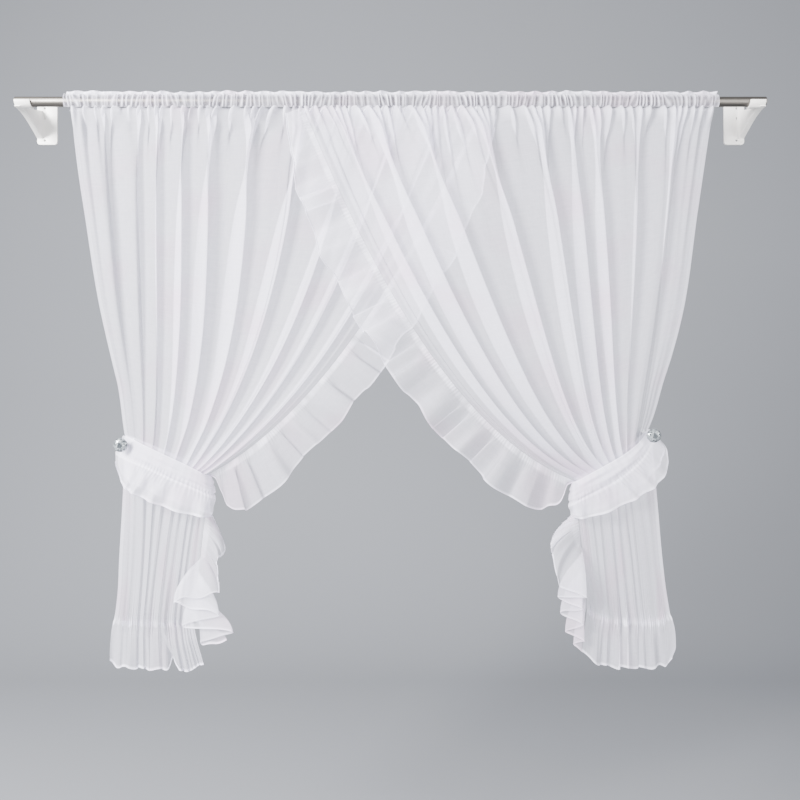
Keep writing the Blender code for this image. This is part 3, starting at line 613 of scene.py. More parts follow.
    def clumps(self, across: Array) -> Array:
        """Return how closely the thread of a gathered seam bunches at places across.

        Args:
            across: shares of the way from the outer to the inner edge.

        Returns:
            The closeness at each place, from 0 to 1.
        """
        gather = self.gather_phase(across)
        crest = 0.5 + 0.5 * np.sin(math.tau * 0.8 * gather + 1.5 * np.sin(math.tau * 0.21 * gather))
        return crest * (0.62 + 0.38 * np.sin(math.tau * 0.33 * gather + 1.0))

    def gather_size(self, across: Array, level: Array) -> Array:
        """Return how strong the small gathers are, as they come and go over the cloth.

        Args:
            across: shares of the way from the outer to the inner edge.
            level: levels down the panel.

        Returns:
            A factor about one at each place.
        """
        heading = self.share(across, "heading")
        waves = (0.40, 33.0, 1.7 * level + self.inward), (0.30, 79.0, 0.5 - 2.9 * level)
        return 1.0 + ripples(heading, *waves)


LEFT_TIE = table(
    TieStation,
    (-0.009, -0.0672, -0.002, 0.019, 0.046),
    (0.008, -0.0690, -0.002, 0.021, 0.052),
    (0.035, -0.0819, 0.000, 0.020, 0.057),
    (0.070, -0.0908, 0.002, 0.019, 0.060),
    (0.120, -0.0935, 0.002, 0.019, 0.060),
    (0.175, -0.0925, 0.002, 0.019, 0.054),
    (0.202, -0.0875, 0.000, 0.019, 0.045),
    (0.213, -0.0730, 0.000, 0.019, 0.042),
    (0.202, -0.0545, 0.000, 0.019, 0.045),
    (0.175, -0.0490, 0.002, 0.019, 0.052),
    (0.120, -0.0475, 0.002, 0.019, 0.056),
    (0.070, -0.0480, 0.002, 0.019, 0.056),
    (0.035, -0.0495, 0.000, 0.020, 0.054),
    (0.008, -0.0510, -0.002, 0.021, 0.050),
    (-0.009, -0.0520, -0.002, 0.019, 0.046),
)

RIGHT_TIE = table(
    TieStation,
    (-0.008, -0.0672, 0.000, 0.010, 0.046),
    (0.008, -0.0690, -0.002, 0.011, 0.052),
    (0.035, -0.0822, -0.008, 0.013, 0.058),
    (0.070, -0.0915, -0.011, 0.016, 0.058),
    (0.120, -0.0935, -0.010, 0.019, 0.052),
    (0.175, -0.0925, -0.004, 0.020, 0.044),
    (0.202, -0.0875, -0.002, 0.020, 0.033),
    (0.213, -0.0730, -0.002, 0.020, 0.028),
    (0.202, -0.0545, -0.002, 0.020, 0.033),
    (0.175, -0.0490, -0.004, 0.020, 0.045),
    (0.120, -0.0475, -0.010, 0.019, 0.050),
    (0.070, -0.0480, -0.011, 0.016, 0.052),
    (0.035, -0.0495, -0.008, 0.013, 0.050),
    (0.008, -0.0510, -0.002, 0.011, 0.048),
    (-0.008, -0.0520, 0.000, 0.010, 0.046),
)

LEFT_PANEL = Panel(
    name="left",
    inward=1,
    layer=1,
    stem=(-0.5623, -0.7109),
    tie_slope=24.5,
    tie_hang=1.0,
    outer=((-0.659, PANEL_TOP), (-0.651, -0.203), (-0.580, -0.513)),
    inner=((0.182, PANEL_TOP), (0.057, -0.298), (-0.144, -0.650)),
    skirt_outer=((-0.566, -0.940), (-0.581, -1.076), (-0.588, -1.158)),
    skirt_inner=((-0.398, -0.930), (-0.414, -1.080), (-0.400, -1.165)),
    seam_sag=0.004,
    hem_sag=0.018,
    hem_notch=0.69,
    crossing=0.50,
    gathers=42,
    folds=table(
        Fold,
        (0.080, 0.070, 0.125, 0.6, 0.10, 0.05),
        (0.085, 0.080, 0.060, 0.8, 0.15, 0.05),
        (0.050, 0.130, 0.120, 0.8, 0.25, 0.10),
        (0.065, 0.130, 0.080, 0.9, 0.45, 0.30),
        (0.070, 0.140, 0.065, 1.0, 0.55, 0.10),
        (0.100, 0.130, 0.130, 1.1, 0.60, 0.16),
        (0.130, 0.080, 0.075, 1.1, 0.50, 0.06),
        (0.135, 0.075, 0.110, 1.1, 0.40, 0.10),
        (0.100, 0.060, 0.070, 1.0, 0.40, 0.28),
        (0.105, 0.055, 0.095, 0.9, 0.40, 0.07),
        (0.080, 0.050, 0.070, 0.8, 0.35, 0.05),
    ),
    cascade=table(
        CascadeStop,
        (2.120, 0.006, 0.004, -0.006, 0.010),
        (2.250, 0.049, 0.050, 0.046, 0.110),
        (2.360, 0.041, 0.038, 0.046, 0.030),
        (2.480, 0.048, 0.068, 0.042, 0.008),
        (2.575, -0.043, 0.075, 0.038, 0.008),
        (2.665, 0.052, 0.068, 0.034, 0.008),
        (2.745, -0.022, 0.077, 0.030, 0.008),
        (2.830, 0.084, 0.055, 0.025, 0.008),
        (2.910, 0.018, 0.063, 0.020, 0.008),
        (3.000, 0.075, 0.030, 0.016, 0.008),
    ),
    skirt_side=table(
        SideLevel,
        (0.00, 0.0000, 0.000),
        (2.00, 0.0000, 0.000),
        (2.60, -0.0020, 0.000),
        (2.80, -0.0040, 0.000),
        (2.93, -0.0035, 0.000),
        (3.06, -0.0008, 0.000),
        (3.40, 0.0016, 0.001),
        (3.75, 0.0015, 0.003),
        (4.00, 0.0000, 0.006),
    ),
    ruffle_drop=1.0,
    tie=LEFT_TIE,
)

RIGHT_PANEL = Panel(
    name="right",
    inward=-1,
    layer=-1,
    stem=(0.5484, -0.6911),
    tie_slope=35.0,
    tie_hang=0.12,
    outer=((0.667, PANEL_TOP), (0.632, -0.240), (0.611, -0.504)),
    inner=((-0.178, PANEL_TOP), (-0.059, -0.311), (0.125, -0.687)),
    skirt_outer=((0.569, -0.900), (0.586, -1.066), (0.596, -1.146)),
    skirt_inner=((0.402, -0.920), (0.411, -1.052), (0.401, -1.140)),
    seam_sag=0.020,
    hem_sag=0.034,
    hem_notch=1.20,
    crossing=0.50,
    gathers=44,
    folds=table(
        Fold,
        (0.090, 0.150, 0.110, 0.6, 0.10, 0.04),
        (0.090, 0.140, 0.085, 0.8, 0.15, 0.04),
        (0.105, 0.090, 0.130, 0.9, 0.30, 0.05),
        (0.065, 0.110, 0.070, 1.0, 0.50, 0.10),
        (0.080, 0.090, 0.120, 1.0, 0.45, 0.26),
        (0.135, 0.085, 0.090, 1.1, 0.35, 0.32),
        (0.155, 0.105, 0.130, 1.1, 0.40, 0.12),
        (0.115, 0.090, 0.075, 1.1, 0.50, 0.10),
        (0.085, 0.075, 0.110, 0.9, 0.55, 0.06),
        (0.080, 0.065, 0.080, 0.8, 0.40, 0.05),
    ),
    cascade=table(
        CascadeStop,
        (2.120, 0.006, 0.004, -0.006, 0.010),
        (2.270, 0.062, 0.037, 0.047, 0.110),
        (2.410, 0.055, 0.078, 0.047, 0.030),
        (2.490, 0.000, 0.092, 0.043, 0.008),
        (2.560, 0.060, 0.071, 0.039, 0.008),
        (2.625, 0.010, 0.086, 0.035, 0.008),
        (2.690, 0.056, 0.074, 0.031, 0.008),
        (2.760, 0.010, 0.088, 0.027, 0.008),
        (2.830, 0.047, 0.082, 0.023, 0.008),
        (2.900, 0.008, 0.088, 0.020, 0.008),
        (2.960, 0.031, 0.078, 0.017, 0.008),
        (3.000, 0.012, 0.086, 0.015, 0.008),
    ),
    skirt_side=table(
        SideLevel,
        (0.00, 0.0000, 0.000),
        (2.00, 0.0000, 0.000),
        (2.35, -0.0030, 0.000),
        (2.60, -0.0052, 0.000),
        (2.80, -0.0045, 0.000),
        (2.95, -0.0020, 0.000),
        (3.10, 0.0020, 0.000),
        (3.40, 0.0046, 0.002),
        (3.75, 0.0022, 0.007),
        (4.00, -0.0090, 0.012),
    ),
    ruffle_drop=0.70,
    tie=RIGHT_TIE,
)


def hex_colour(code: str) -> tuple:
    """Return a linear RGBA colour from an sRGB hex code.

    Args:
        code: the colour, as a hash and six digits.

    Returns:
        Its red, green, blue and alpha, from 0 to 1.
    """
    channels = [int(code[index:index + 2], 16) / 255.0 for index in (1, 3, 5)]
    linear = [c / 12.92 if c <= 0.04045 else ((c + 0.055) / 1.055) ** 2.4 for c in channels]
    return (*linear, 1.0)


def per_metre(millimetres: float) -> float:
    """Return the texture scale that repeats a pattern once in a length in millimetres."""
    return 1000.0 / millimetres


def feed(node: bpy.types.Node, inputs: dict) -> None:
    """Set or link a node's inputs.

    Args:
        node: the node, in its tree.
        inputs: input names or numbers, each with a value, a socket, or a node whose
            first output feeds it.
    """
    for name, value in inputs.items():
        if isinstance(value, bpy.types.Node):
            value = value.outputs[0]
        if isinstance(value, bpy.types.NodeSocket):
            node.id_data.links.new(value, node.inputs[name])
        else:
            node.inputs[name].default_value = value


def add_node(
    tree: bpy.types.NodeTree, kind: str, inputs: Optional[dict] = None, **settings
) -> bpy.types.Node:
    """Add a node with its settings and links.

    Args:
        tree: the material's node tree.
        kind: the node's type, without the prefix that all shader nodes share.
        inputs: what feeds it, as feed takes them.
        **settings: the node's own properties.

    Returns:
        The new node.
    """
    node = tree.nodes.new(f"ShaderNode{kind}")
    for name, value in settings.items():
        setattr(node, name, value)
    feed(node, inputs or {})
    return node


def new_material(name: str) -> tuple:
    """Return a new material, its Principled shader, and add_node for its tree.

    Args:
        name: the material's name.

    Returns:
        All three, in that order.
    """
    material = bpy.data.materials.new(name)
    material.use_nodes = True
    tree = material.node_tree
    return material, tree.nodes["Principled BSDF"], partial(add_node, tree)


@dataclass(frozen=True)
class VoileFinish:
    """Woven polyester voile: fine, soft and sheer, white where it lies in layers.

    One layer lets about two thirds of what is behind it through. Stitched strips, rolled
    hems and tight gathers hold more thread for their area, so they read whiter; on gather
    crests part of that extra cover is a painted highlight. The valleys of tight gathers
    are mixed towards a grey as painted shade.
    """

    name: str = "woven polyester voile"
    colour: str = "#F0EEFC"
    tint: str = "#EFE0F3"
    # Painted shade: the grey that the valleys of tight gathers are darkened towards.
    painted_shade_colour: str = "#9C97A6"
    cover: float = 0.33
    uneven_cover: float = 0.03
    hem_cover: float = 0.50
    thread_mm: float = 2.4
    thread_stretch: float = 0.06
    slub_mm: float = 9.0
    tint_mm: float = 140.0
    roughness: float = 0.82
    bump: float = 0.12
    relief: float = 0.0006
    sheen: float = 0.25

    def build(self) -> bpy.types.Material:
        """Build the material, its weave on the cloth's own UV map in metres.

        Returns:
            The material.
        """
        material, shader, add = new_material(self.name)
        uv = add("UVMap", uv_map="cloth")
        # Real threads lie 0.4 mm apart and vanish at this distance, so they are drawn coarser
        along = self.thread_stretch
        warp, weft, slub, tint = (
            add("TexNoise", {
                "Vector": add("Mapping", {"Vector": uv, "Scale": stretch}),
                "Scale": per_metre(size), "Detail": detail,
            })
            for stretch, size, detail in (
                ((1.0, along, 1.0), self.thread_mm, 2.0), ((along, 1.0, 1.0), self.thread_mm, 2.0),
                ((1.0, 1.0, 1.0), self.slub_mm, 3.0), ((1.0, 1.0, 1.0), self.tint_mm, 1.0),
            )
        )
        weave = add("Math", {0: warp, 1: weft}, operation="ADD")
        weave = add("Math", {0: weave, 1: slub}, operation="ADD")
        least, most = self.cover - self.uneven_cover, self.cover + self.uneven_cover
        cover = add("MapRange", {0: weave, 1: 1.0, 2: 2.0, 3: least, 4: most})
        full, painted_shade = (
            add("Attribute", attribute_name=name).outputs["Fac"] for name in ("full", "painted_shade")
        )
        cover = add("Math", {0: full, 1: self.hem_cover, 2: cover}, operation="MULTIPLY_ADD")
        share = add("MapRange", {0: tint, 1: 0.50, 2: 0.68, 3: 0.0, 4: 1.0})
        colour = hex_colour(self.colour)
        # The second mix darkens the colour towards a grey by the attribute: painted shade between
        # tight gathers.
        for factor, other in ((share, self.tint), (painted_shade, self.painted_shade_colour)):
            mix = add("Mix", {0: factor, 6: colour, 7: hex_colour(other)}, data_type="RGBA")
            colour = mix.outputs[2]
        bump = add("Bump", {"Height": weave, "Strength": self.bump, "Distance": self.relief})
        feed(shader, {
            "Base Color": colour, "Alpha": cover, "Normal": bump,
            "Roughness": self.roughness, "Sheen Weight": self.sheen, "Sheen Roughness": 0.4,
        })
        return material


@dataclass(frozen=True)
class RodFinish:
    """Brushed stainless tube: a satin sheen drawn out round the tube, fine lines along it."""

    name: str = "brushed stainless steel"
    colour: str = "#6E6A65"
    line_mm: float = 1.2
    line_stretch: float = 0.02
    roughness: float = 0.44
    bump: float = 0.10
    relief: float = 0.0003

    def build(self) -> bpy.types.Material:
        """Build the material, its brushing drawn along X.

        Returns:
            The material.
        """
        material, shader, add = new_material(self.name)
        place = add("TexCoord").outputs["Object"]
        place = add("Mapping", {"Vector": place, "Scale": (self.line_stretch, 1.0, 1.0)})
        brush = add("TexNoise", {"Vector": place, "Scale": per_metre(self.line_mm), "Detail": 4.0})
        least, most = self.roughness - 0.07, self.roughness + 0.12
        rough = add("MapRange", {0: brush, 1: 0.3, 2: 0.7, 3: least, 4: most})
        bump = add("Bump", {"Height": brush, "Strength": self.bump, "Distance": self.relief})
        feed(shader, {
            "Base Color": hex_colour(self.colour), "Metallic": 1.0, "Roughness": rough,
            "Normal": bump,
        })
        return material


@dataclass(frozen=True)
class MouldedFinish:
    """Injection-moulded white plastic: evenly pale, a soft gloss, faint mould unevenness."""

    name: str = "moulded white plastic"
    colour: str = "#F0EEEA"
    shade: str = "#E2DFDB"
    grain_mm: float = 1.5
    mottle_mm: float = 22.0
    roughness: float = 0.38
    bump: float = 0.08
    relief: float = 0.0004

    def build(self) -> bpy.types.Material:
        """Build the material on Object coordinates.

        Returns:
            The material.
        """
        material, shader, add = new_material(self.name)
        place = add("TexCoord").outputs["Object"]
        grain, mottle = (
            add("TexNoise", {"Vector": place, "Scale": per_metre(size), "Detail": detail})
            for size, detail in ((self.grain_mm, 2.0), (self.mottle_mm, 3.0))
        )
        ends = {6: hex_colour(self.colour), 7: hex_colour(self.shade)}
        colour = add("Mix", {0: mottle, **ends}, data_type="RGBA").outputs[2]
        least, most = self.roughness - 0.06, self.roughness + 0.08
        rough = add("MapRange", {0: mottle, 1: 0.3, 2: 0.7, 3: least, 4: most})
        bump = add("Bump", {"Height": grain, "Strength": self.bump, "Distance": self.relief})
        feed(shader, {"Base Color": colour, "Roughness": rough, "Normal": bump, "IOR": 1.49})
        return material


@dataclass(frozen=True)
class ChromeFinish:
    """Chrome plate: bright and mirror-like, with a little handling wear in its gloss."""

    name: str = "chrome plate"
    colour: str = "#85888C"
    wear_mm: float = 6.0
    roughness: float = 0.30
    wear: float = 0.14

    def build(self) -> bpy.types.Material:
        """Build the material on Object coordinates.

        Returns:
            The material.
        """
        material, shader, add = new_material(self.name)
        place = add("TexCoord").outputs["Object"]
        wear = add("TexNoise", {"Vector": place, "Scale": per_metre(self.wear_mm), "Detail": 3.0})
        least, most = self.roughness, self.roughness + self.wear
        rough = add("MapRange", {0: wear, 1: 0.35, 2: 0.75, 3: least, 4: most})
        feed(shader, {
            "Base Color": hex_colour(self.colour), "Metallic": 1.0, "Roughness": rough,
        })
        return material


@dataclass(frozen=True)
class CrystalFinish:
    """Cut lead glass, silvered behind: each facet's grey, white or black is a painted reflection.
    """

    name: str = "cut lead glass"
    # The light and dark ends are painted reflections, mixed facet by facet.
    light: str = "#B4BBBF"
    dark: str = "#2A3036"
    cloud_mm: float = 2.5
    cloud: float = 0.35
    roughness: float = 0.16
    silvering: float = 0.40
    coat: float = 0.35

    def build(self) -> bpy.types.Material:
        """Build the material, each facet's painted reflection grey from the piece's own attribute.

        Returns:
            The material.
        """
        material, shader, add = new_material(self.name)
        place = add("TexCoord").outputs["Object"]
        cloud = add("TexNoise", {"Vector": place, "Scale": per_metre(self.cloud_mm)})
        facet = add("Attribute", attribute_name="facet").outputs["Fac"]
        grey = add("Math", {0: cloud, 1: self.cloud, 2: facet}, operation="MULTIPLY_ADD")
        share = add("MapRange", {0: grey, 1: 0.35, 2: 1.0, 3: 0.0, 4: 1.0})
        ends = {6: hex_colour(self.light), 7: hex_colour(self.dark)}
        colour = add("Mix", {0: share, **ends}, data_type="RGBA").outputs[2]
        feed(shader, {
            "Base Color": colour, "Metallic": self.silvering, "Roughness": self.roughness,
            "IOR": 1.60, "Coat Weight": self.coat, "Coat Roughness": 0.02,
        })
        return material


@dataclass(frozen=True)
class StudioFinish:
    """Matt studio paper: pale and even, with no sheen."""

    name: str = "matt studio paper"
    colour: str = "#888A8F"
    grain_mm: float = 900.0

    def build(self) -> bpy.types.Material:
        """Build the material with a very faint unevenness.

        Returns:
            The material.
        """
        material, shader, add = new_material(self.name)
        place = add("TexCoord").outputs["Object"]
        grain = add("TexNoise", {"Vector": place, "Scale": per_metre(self.grain_mm)})
        value = add("MapRange", {0: grain, 1: 0.0, 2: 1.0, 3: 0.985, 4: 1.015})
        colour = add("HueSaturation", {"Color": hex_colour(self.colour), "Value": value})
        feed(shader, {"Base Color": colour, "Roughness": 0.95, "Specular IOR Level": 0.1})
        return material


class Slot(Enum):
    """The record's material slots."""

    VOILE = "voile"
    ROD = "rod_metal"
    BRACKET = "bracket_plastic"
    KNOB = "knob_metal"
    CRYSTAL = "crystal"


class Finishes:
    """Builds each finish once and hands it out by slot."""

    def __init__(self) -> None:
        """Build the materials of all the slots."""
        self.materials = {
            Slot.VOILE: VoileFinish().build(),
            Slot.ROD: RodFinish().build(),
            Slot.BRACKET: MouldedFinish().build(),
            Slot.KNOB: ChromeFinish().build(),
            Slot.CRYSTAL: CrystalFinish().build(),
        }

    def dress(self, piece: bpy.types.Object, slot: Slot) -> None:
        """Give a piece one finish, in place of any that it has."""
        piece.data.materials.clear()
        piece.data.materials.append(self.materials[slot])


def rolled_edge(points: Array) -> Array:
    """Add a rolled hem past the last column of a sheet.

    Args:
        points: the sheet's points, its free edge in the last column.

    Returns:
        The points with a few more columns that curl round to the back.
    """
    edge = points[:, -1]
    outward = unit(edge - points[:, -2])
    side = unit(np.cross(outward, unit(np.gradient(edge, axis=0))))
    roll = [
        edge + ROLL_RADIUS * (math.sin(turn) * outward + (1.0 - math.cos(turn)) * side)
        for turn in map(math.radians, ROLL_TURNS)
    ]
    return np.concatenate([points, np.stack(roll, 1)], axis=1)


def hemmed(points: Array, full: Array, edge: Optional[Array] = None) -> tuple:
    """Roll a sheet's free edge and thicken its thread there.

    Args:
        points: the sheet's points, its free edge in the last column.
        full: the extra thread at each point.
        edge: each point's distance from the edge, measured if left out.

    Returns:
        The points and the thread, with the roll's columns added.
    """
    if edge is None:
        edge = np.linalg.norm(points - points[:, -1:], axis=-1)
    full = np.maximum(full, fade(edge, *HEM_THREAD))
    full = np.pad(full, ((0, 0), (0, len(ROLL_TURNS))), constant_values=1.0)
    return rolled_edge(points), full


def cloth_lengths(points: Array) -> Array:
    """Return each point's place on the flat cloth, in metres across and down.

    Args:
        points: the sheet's points.

    Returns:
        The mean distance down each row and across each column, as pairs.
    """
    down = np.linalg.norm(np.diff(points, axis=0), axis=-1).mean(axis=1)
    across = np.linalg.norm(np.diff(points, axis=1), axis=-1).mean(axis=0)
    down, across = (running(steps) for steps in (down, across))
    return np.stack(np.broadcast_arrays(across[None, :], down[:, None]), -1)


def grid_piece(name: str, points: Array, turned: bool = False) -> tuple:
    """Make a smooth piece from a grid of points.

    Args:
        name: the piece's name.
        points: the points, rows by columns.
        turned: whether the columns run the other way round.

    Returns:
        The piece, at the origin, and its faces.
    """
    rows, columns = points.shape[:2]
    index = np.arange(rows * columns).reshape(rows, columns)
    quads = [index[:-1, :-1], index[1:, :-1], index[1:, 1:], index[:-1, 1:]]
    if turned:
        quads.reverse()
    faces = np.stack(quads, -1).reshape(-1, 4)
    mesh = bpy.data.meshes.new(name)
    mesh.from_pydata(points.reshape(-1, 3).tolist(), [], faces.tolist())
    mesh.shade_smooth()
    piece = bpy.data.objects.new(name, mesh)
    bpy.context.scene.collection.objects.link(piece)
    return piece, faces


class Held(Enum):
    """How a sheet of cloth is held."""

    GATHERED = "gathered"
    DRAPED = "draped"


@dataclass
class ClothPiece:
    """One piece of cloth: the solid that it dresses, its flat cut size and its hold."""

    node: str
    flat: tuple
    held: Held
    rests_on: tuple

    def finish(
        self, points: Array, full: Array, turned: bool, finishes: Finishes,
        painted_shade: Optional[Array] = None,
    ) -> None:
        """Args:
            points: the sheet's points, rows by columns.
            full: how much thread each point holds beyond plain cloth, from 0 to 1; on gather
            crests part of it is a painted highlight.
            turned: whether the columns run the other way round.
            finishes: the finishes to dress it with.
            painted_shade: how far each point's colour is darkened as painted shade between tight
            gathers, from 0 to 1, none if left out.
        """
        if painted_shade is None:
            painted_shade = np.zeros(points.shape[:2])
        piece, faces = grid_piece(f"voile_{self.node}", points, turned)
        flat = cloth_lengths(points).reshape(-1, 2)
        layer = piece.data.uv_layers.new(name="cloth")
        layer.data.foreach_set("uv", flat[faces.reshape(-1)].ravel())
        for label, values in (("full", full), ("painted_shade", painted_shade)):
            attribute = piece.data.attributes.new(label, "FLOAT", "POINT")
            attribute.data.foreach_set("value", np.clip(values, 0.0, 1.0).ravel())
        finishes.dress(piece, Slot.VOILE)
        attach(piece, BODY)
        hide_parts(self.node)
        area = sum(polygon.area for polygon in piece.data.polygons)
        LOG.info("%s: %d faces, %.3f m2", piece.name, len(faces), area)


@dataclass
class MainPanels:
    """The two big panels, each gathered into the rod pocket and drawn to its side."""

    flat: tuple = (1.04, 1.08)
    columns: int = 520
    top_rows: int = 104
    waist_rows: int = 8
    skirt_rows: int = 40
    top_closeness: float = 1.25
    side_hem: tuple = (0.006, 0.008)
    side_thread: float = 0.22
    # Cover on the puffed gather tops: part thread, part painted highlight.
    gather_thread_and_highlight: float = 0.60
    gather_fade: tuple = (0.004, 0.034)
    seam_fade: float = 0.009
    arch_front: float = 0.0130
    arch_rise: float = 0.0028
    arch_fade: tuple = (0.003, 0.045)
    rise_fade: tuple = (0.0, 0.010)

    def build(self, panel: Panel, finishes: Finishes) -> None:
        """Build one panel from the pocket to its hem seam.

        Args:
            panel: the panel to build.
            finishes: the finishes to dress it with.
        """
        level = np.concatenate([
            np.linspace(0.0, 1.0, self.top_rows, endpoint=False) ** self.top_closeness,
            np.linspace(1.0, 2.0, self.waist_rows, endpoint=False),
            np.linspace(2.0, 3.0, self.skirt_rows),
        ])
        across = np.linspace(0.0, 1.0, self.columns)
        points = panel.cloth(across, level)
        puff = 0.5 + 0.5 * np.sin(math.tau * panel.gather_phase(across))[None, :]
        below = np.abs(points[..., 2] - points[:1, :, 2])
        # Extra cover on the puffed gather tops below the pocket: partly their thread, partly a
        # painted highlight on the arch tops.
        full = self.gather_thread_and_highlight * puff ** 1.5 * fade(below, *self.gather_fade)
        points = self.arched(points, puff, below)
        run = np.linalg.norm(points - points[:, :1], axis=-1)
        full = np.maximum(full, self.side_thread * fade(run, *self.side_hem))
        down = np.abs(points[..., 2] - points[-1:, :, 2])
        clumps = panel.clumps(across)[None, :]
        strip = fade(down, 0.002 + 0.003 * clumps, self.seam_fade)
        full = np.maximum(full, (0.15 + 0.60 * clumps) * strip)
        ClothPiece(
            f"panel_{panel.name}", self.flat, Held.GATHERED,
            ("heading", f"tie_band_{panel.name}"),
        ).finish(points, full, panel.inward < 0, finishes)

    def arched(self, points: Array, puff: Array, below: Array) -> Array:
        """Round the gathers forward in small arches where they spring from the pocket.

        Args:
            points: the panel's points.
            puff: how full each gather is across the panel, from 0 to 1.
            below: each point's distance below the pocket.

        Returns:
            The points.
        """
        front = np.minimum(points[..., 1], -ROD_STANDOFF - self.arch_front)
        share = (0.30 + 0.70 * puff ** 1.5) * fade(below, *self.arch_fade)
        points[..., 1] = lerp(points[..., 1], front, share)
        rise = self.arch_rise * puff ** 2
        points[..., 2] += rise * fade(below, *self.rise_fade)
        return points


@dataclass
class HemRuffles:
    """The ruffles sewn under the panels' hems."""

    flat: tuple = (0.42, 0.09)
    columns: int = 520
    rows: int = 34
    strip: float = 0.008
    strip_fade: float = 0.005
    gather_fade: tuple = (0.008, 0.045)
    wave: float = 0.0035
    waves: tuple = ((1.0, 3.3), (0.6, 7.7))
    scallop: float = 0.0022
    scallops: float = 5.3
    notch_width: float = 0.030
    notch_back: float = 0.012
    notch_rise: float = 0.022
    pleat: float = 0.0014
    pleats: float = 30.0
    flap_front: float = 0.008
    flap_lean: float = 0.12
    flap_spread: float = 0.012

    def build(self, panel: Panel, finishes: Finishes) -> None:
        """Build one hem ruffle, its free edge rolled.

        Args:
            panel: the panel that it hangs from.
            finishes: the finishes to dress it with.
        """
        level = np.linspace(3.0, 4.0, self.rows)
        across = np.linspace(0.0, 1.0, self.columns)
        points = self.waved(panel, panel.cloth(across, level), across, level)
        down = np.linalg.norm(points - points[:1], axis=-1)
        clumps = panel.clumps(across)[None, :]
        strip = self.strip * (0.5 + 0.7 * clumps)
        full = (0.15 + 0.70 * clumps) * fade(down, strip, strip + self.strip_fade)
        full = full + 0.20 * clumps ** 2 * fade(down, *self.gather_fade)
        points, full = hemmed(points.transpose(1, 0, 2), full.T)
        ClothPiece(
            f"hem_ruffle_{panel.name}", self.flat, Held.GATHERED, (f"panel_{panel.name}",)
        ).finish(points, full, panel.inward > 0, finishes)

    def waved(self, panel: Panel, points: Array, across: Array, level: Array) -> Array:
        """Add soft waves, and draw the ruffle back and up beside its inner flap.

        Args:
            panel: the panel that it hangs from.
            points: the ruffle's points on the main folds.
            across: shares of the width.
            level: levels down the ruffle.

        Returns:
            The points.
        """
        share = panel.share(across, "hem")[None, :]
        fall = (level - 3.0)[:, None]
        (size, count), (small_size, small_count) = self.waves
        soft = size * np.sin(math.tau * count * share + panel.inward)
        soft = soft + small_size * np.sin(math.tau * small_count * share)
        points[..., 1] += self.wave * soft * fall
        points[..., 2] += self.scallop * np.sin(math.tau * self.scallops * share + 2.0) * fall ** 2
        line = panel.hem_notch - self.flap_lean * (1.0 - fall)
        notch = np.exp(-((share - line) / self.notch_width) ** 2) * fall ** 2
        points[..., 1] += self.notch_back * notch
        points[..., 2] += self.notch_rise * notch
        flap = smooth_step(share - line, 0.0, 2.0 * self.notch_width)
        pleat = np.sin(math.tau * self.pleats * share + 1.5 * np.sin(9.0 * share))
        pleat = self.pleat * pleat * (0.4 + 0.6 * fall) * smooth_step(fall, 0.0, 0.15)
        points[..., 1] -= flap * (pleat + self.flap_front * smooth_step(fall, 0.0, 0.5))
        points[..., 0] += panel.inward * self.flap_spread * flap * fall
        return points


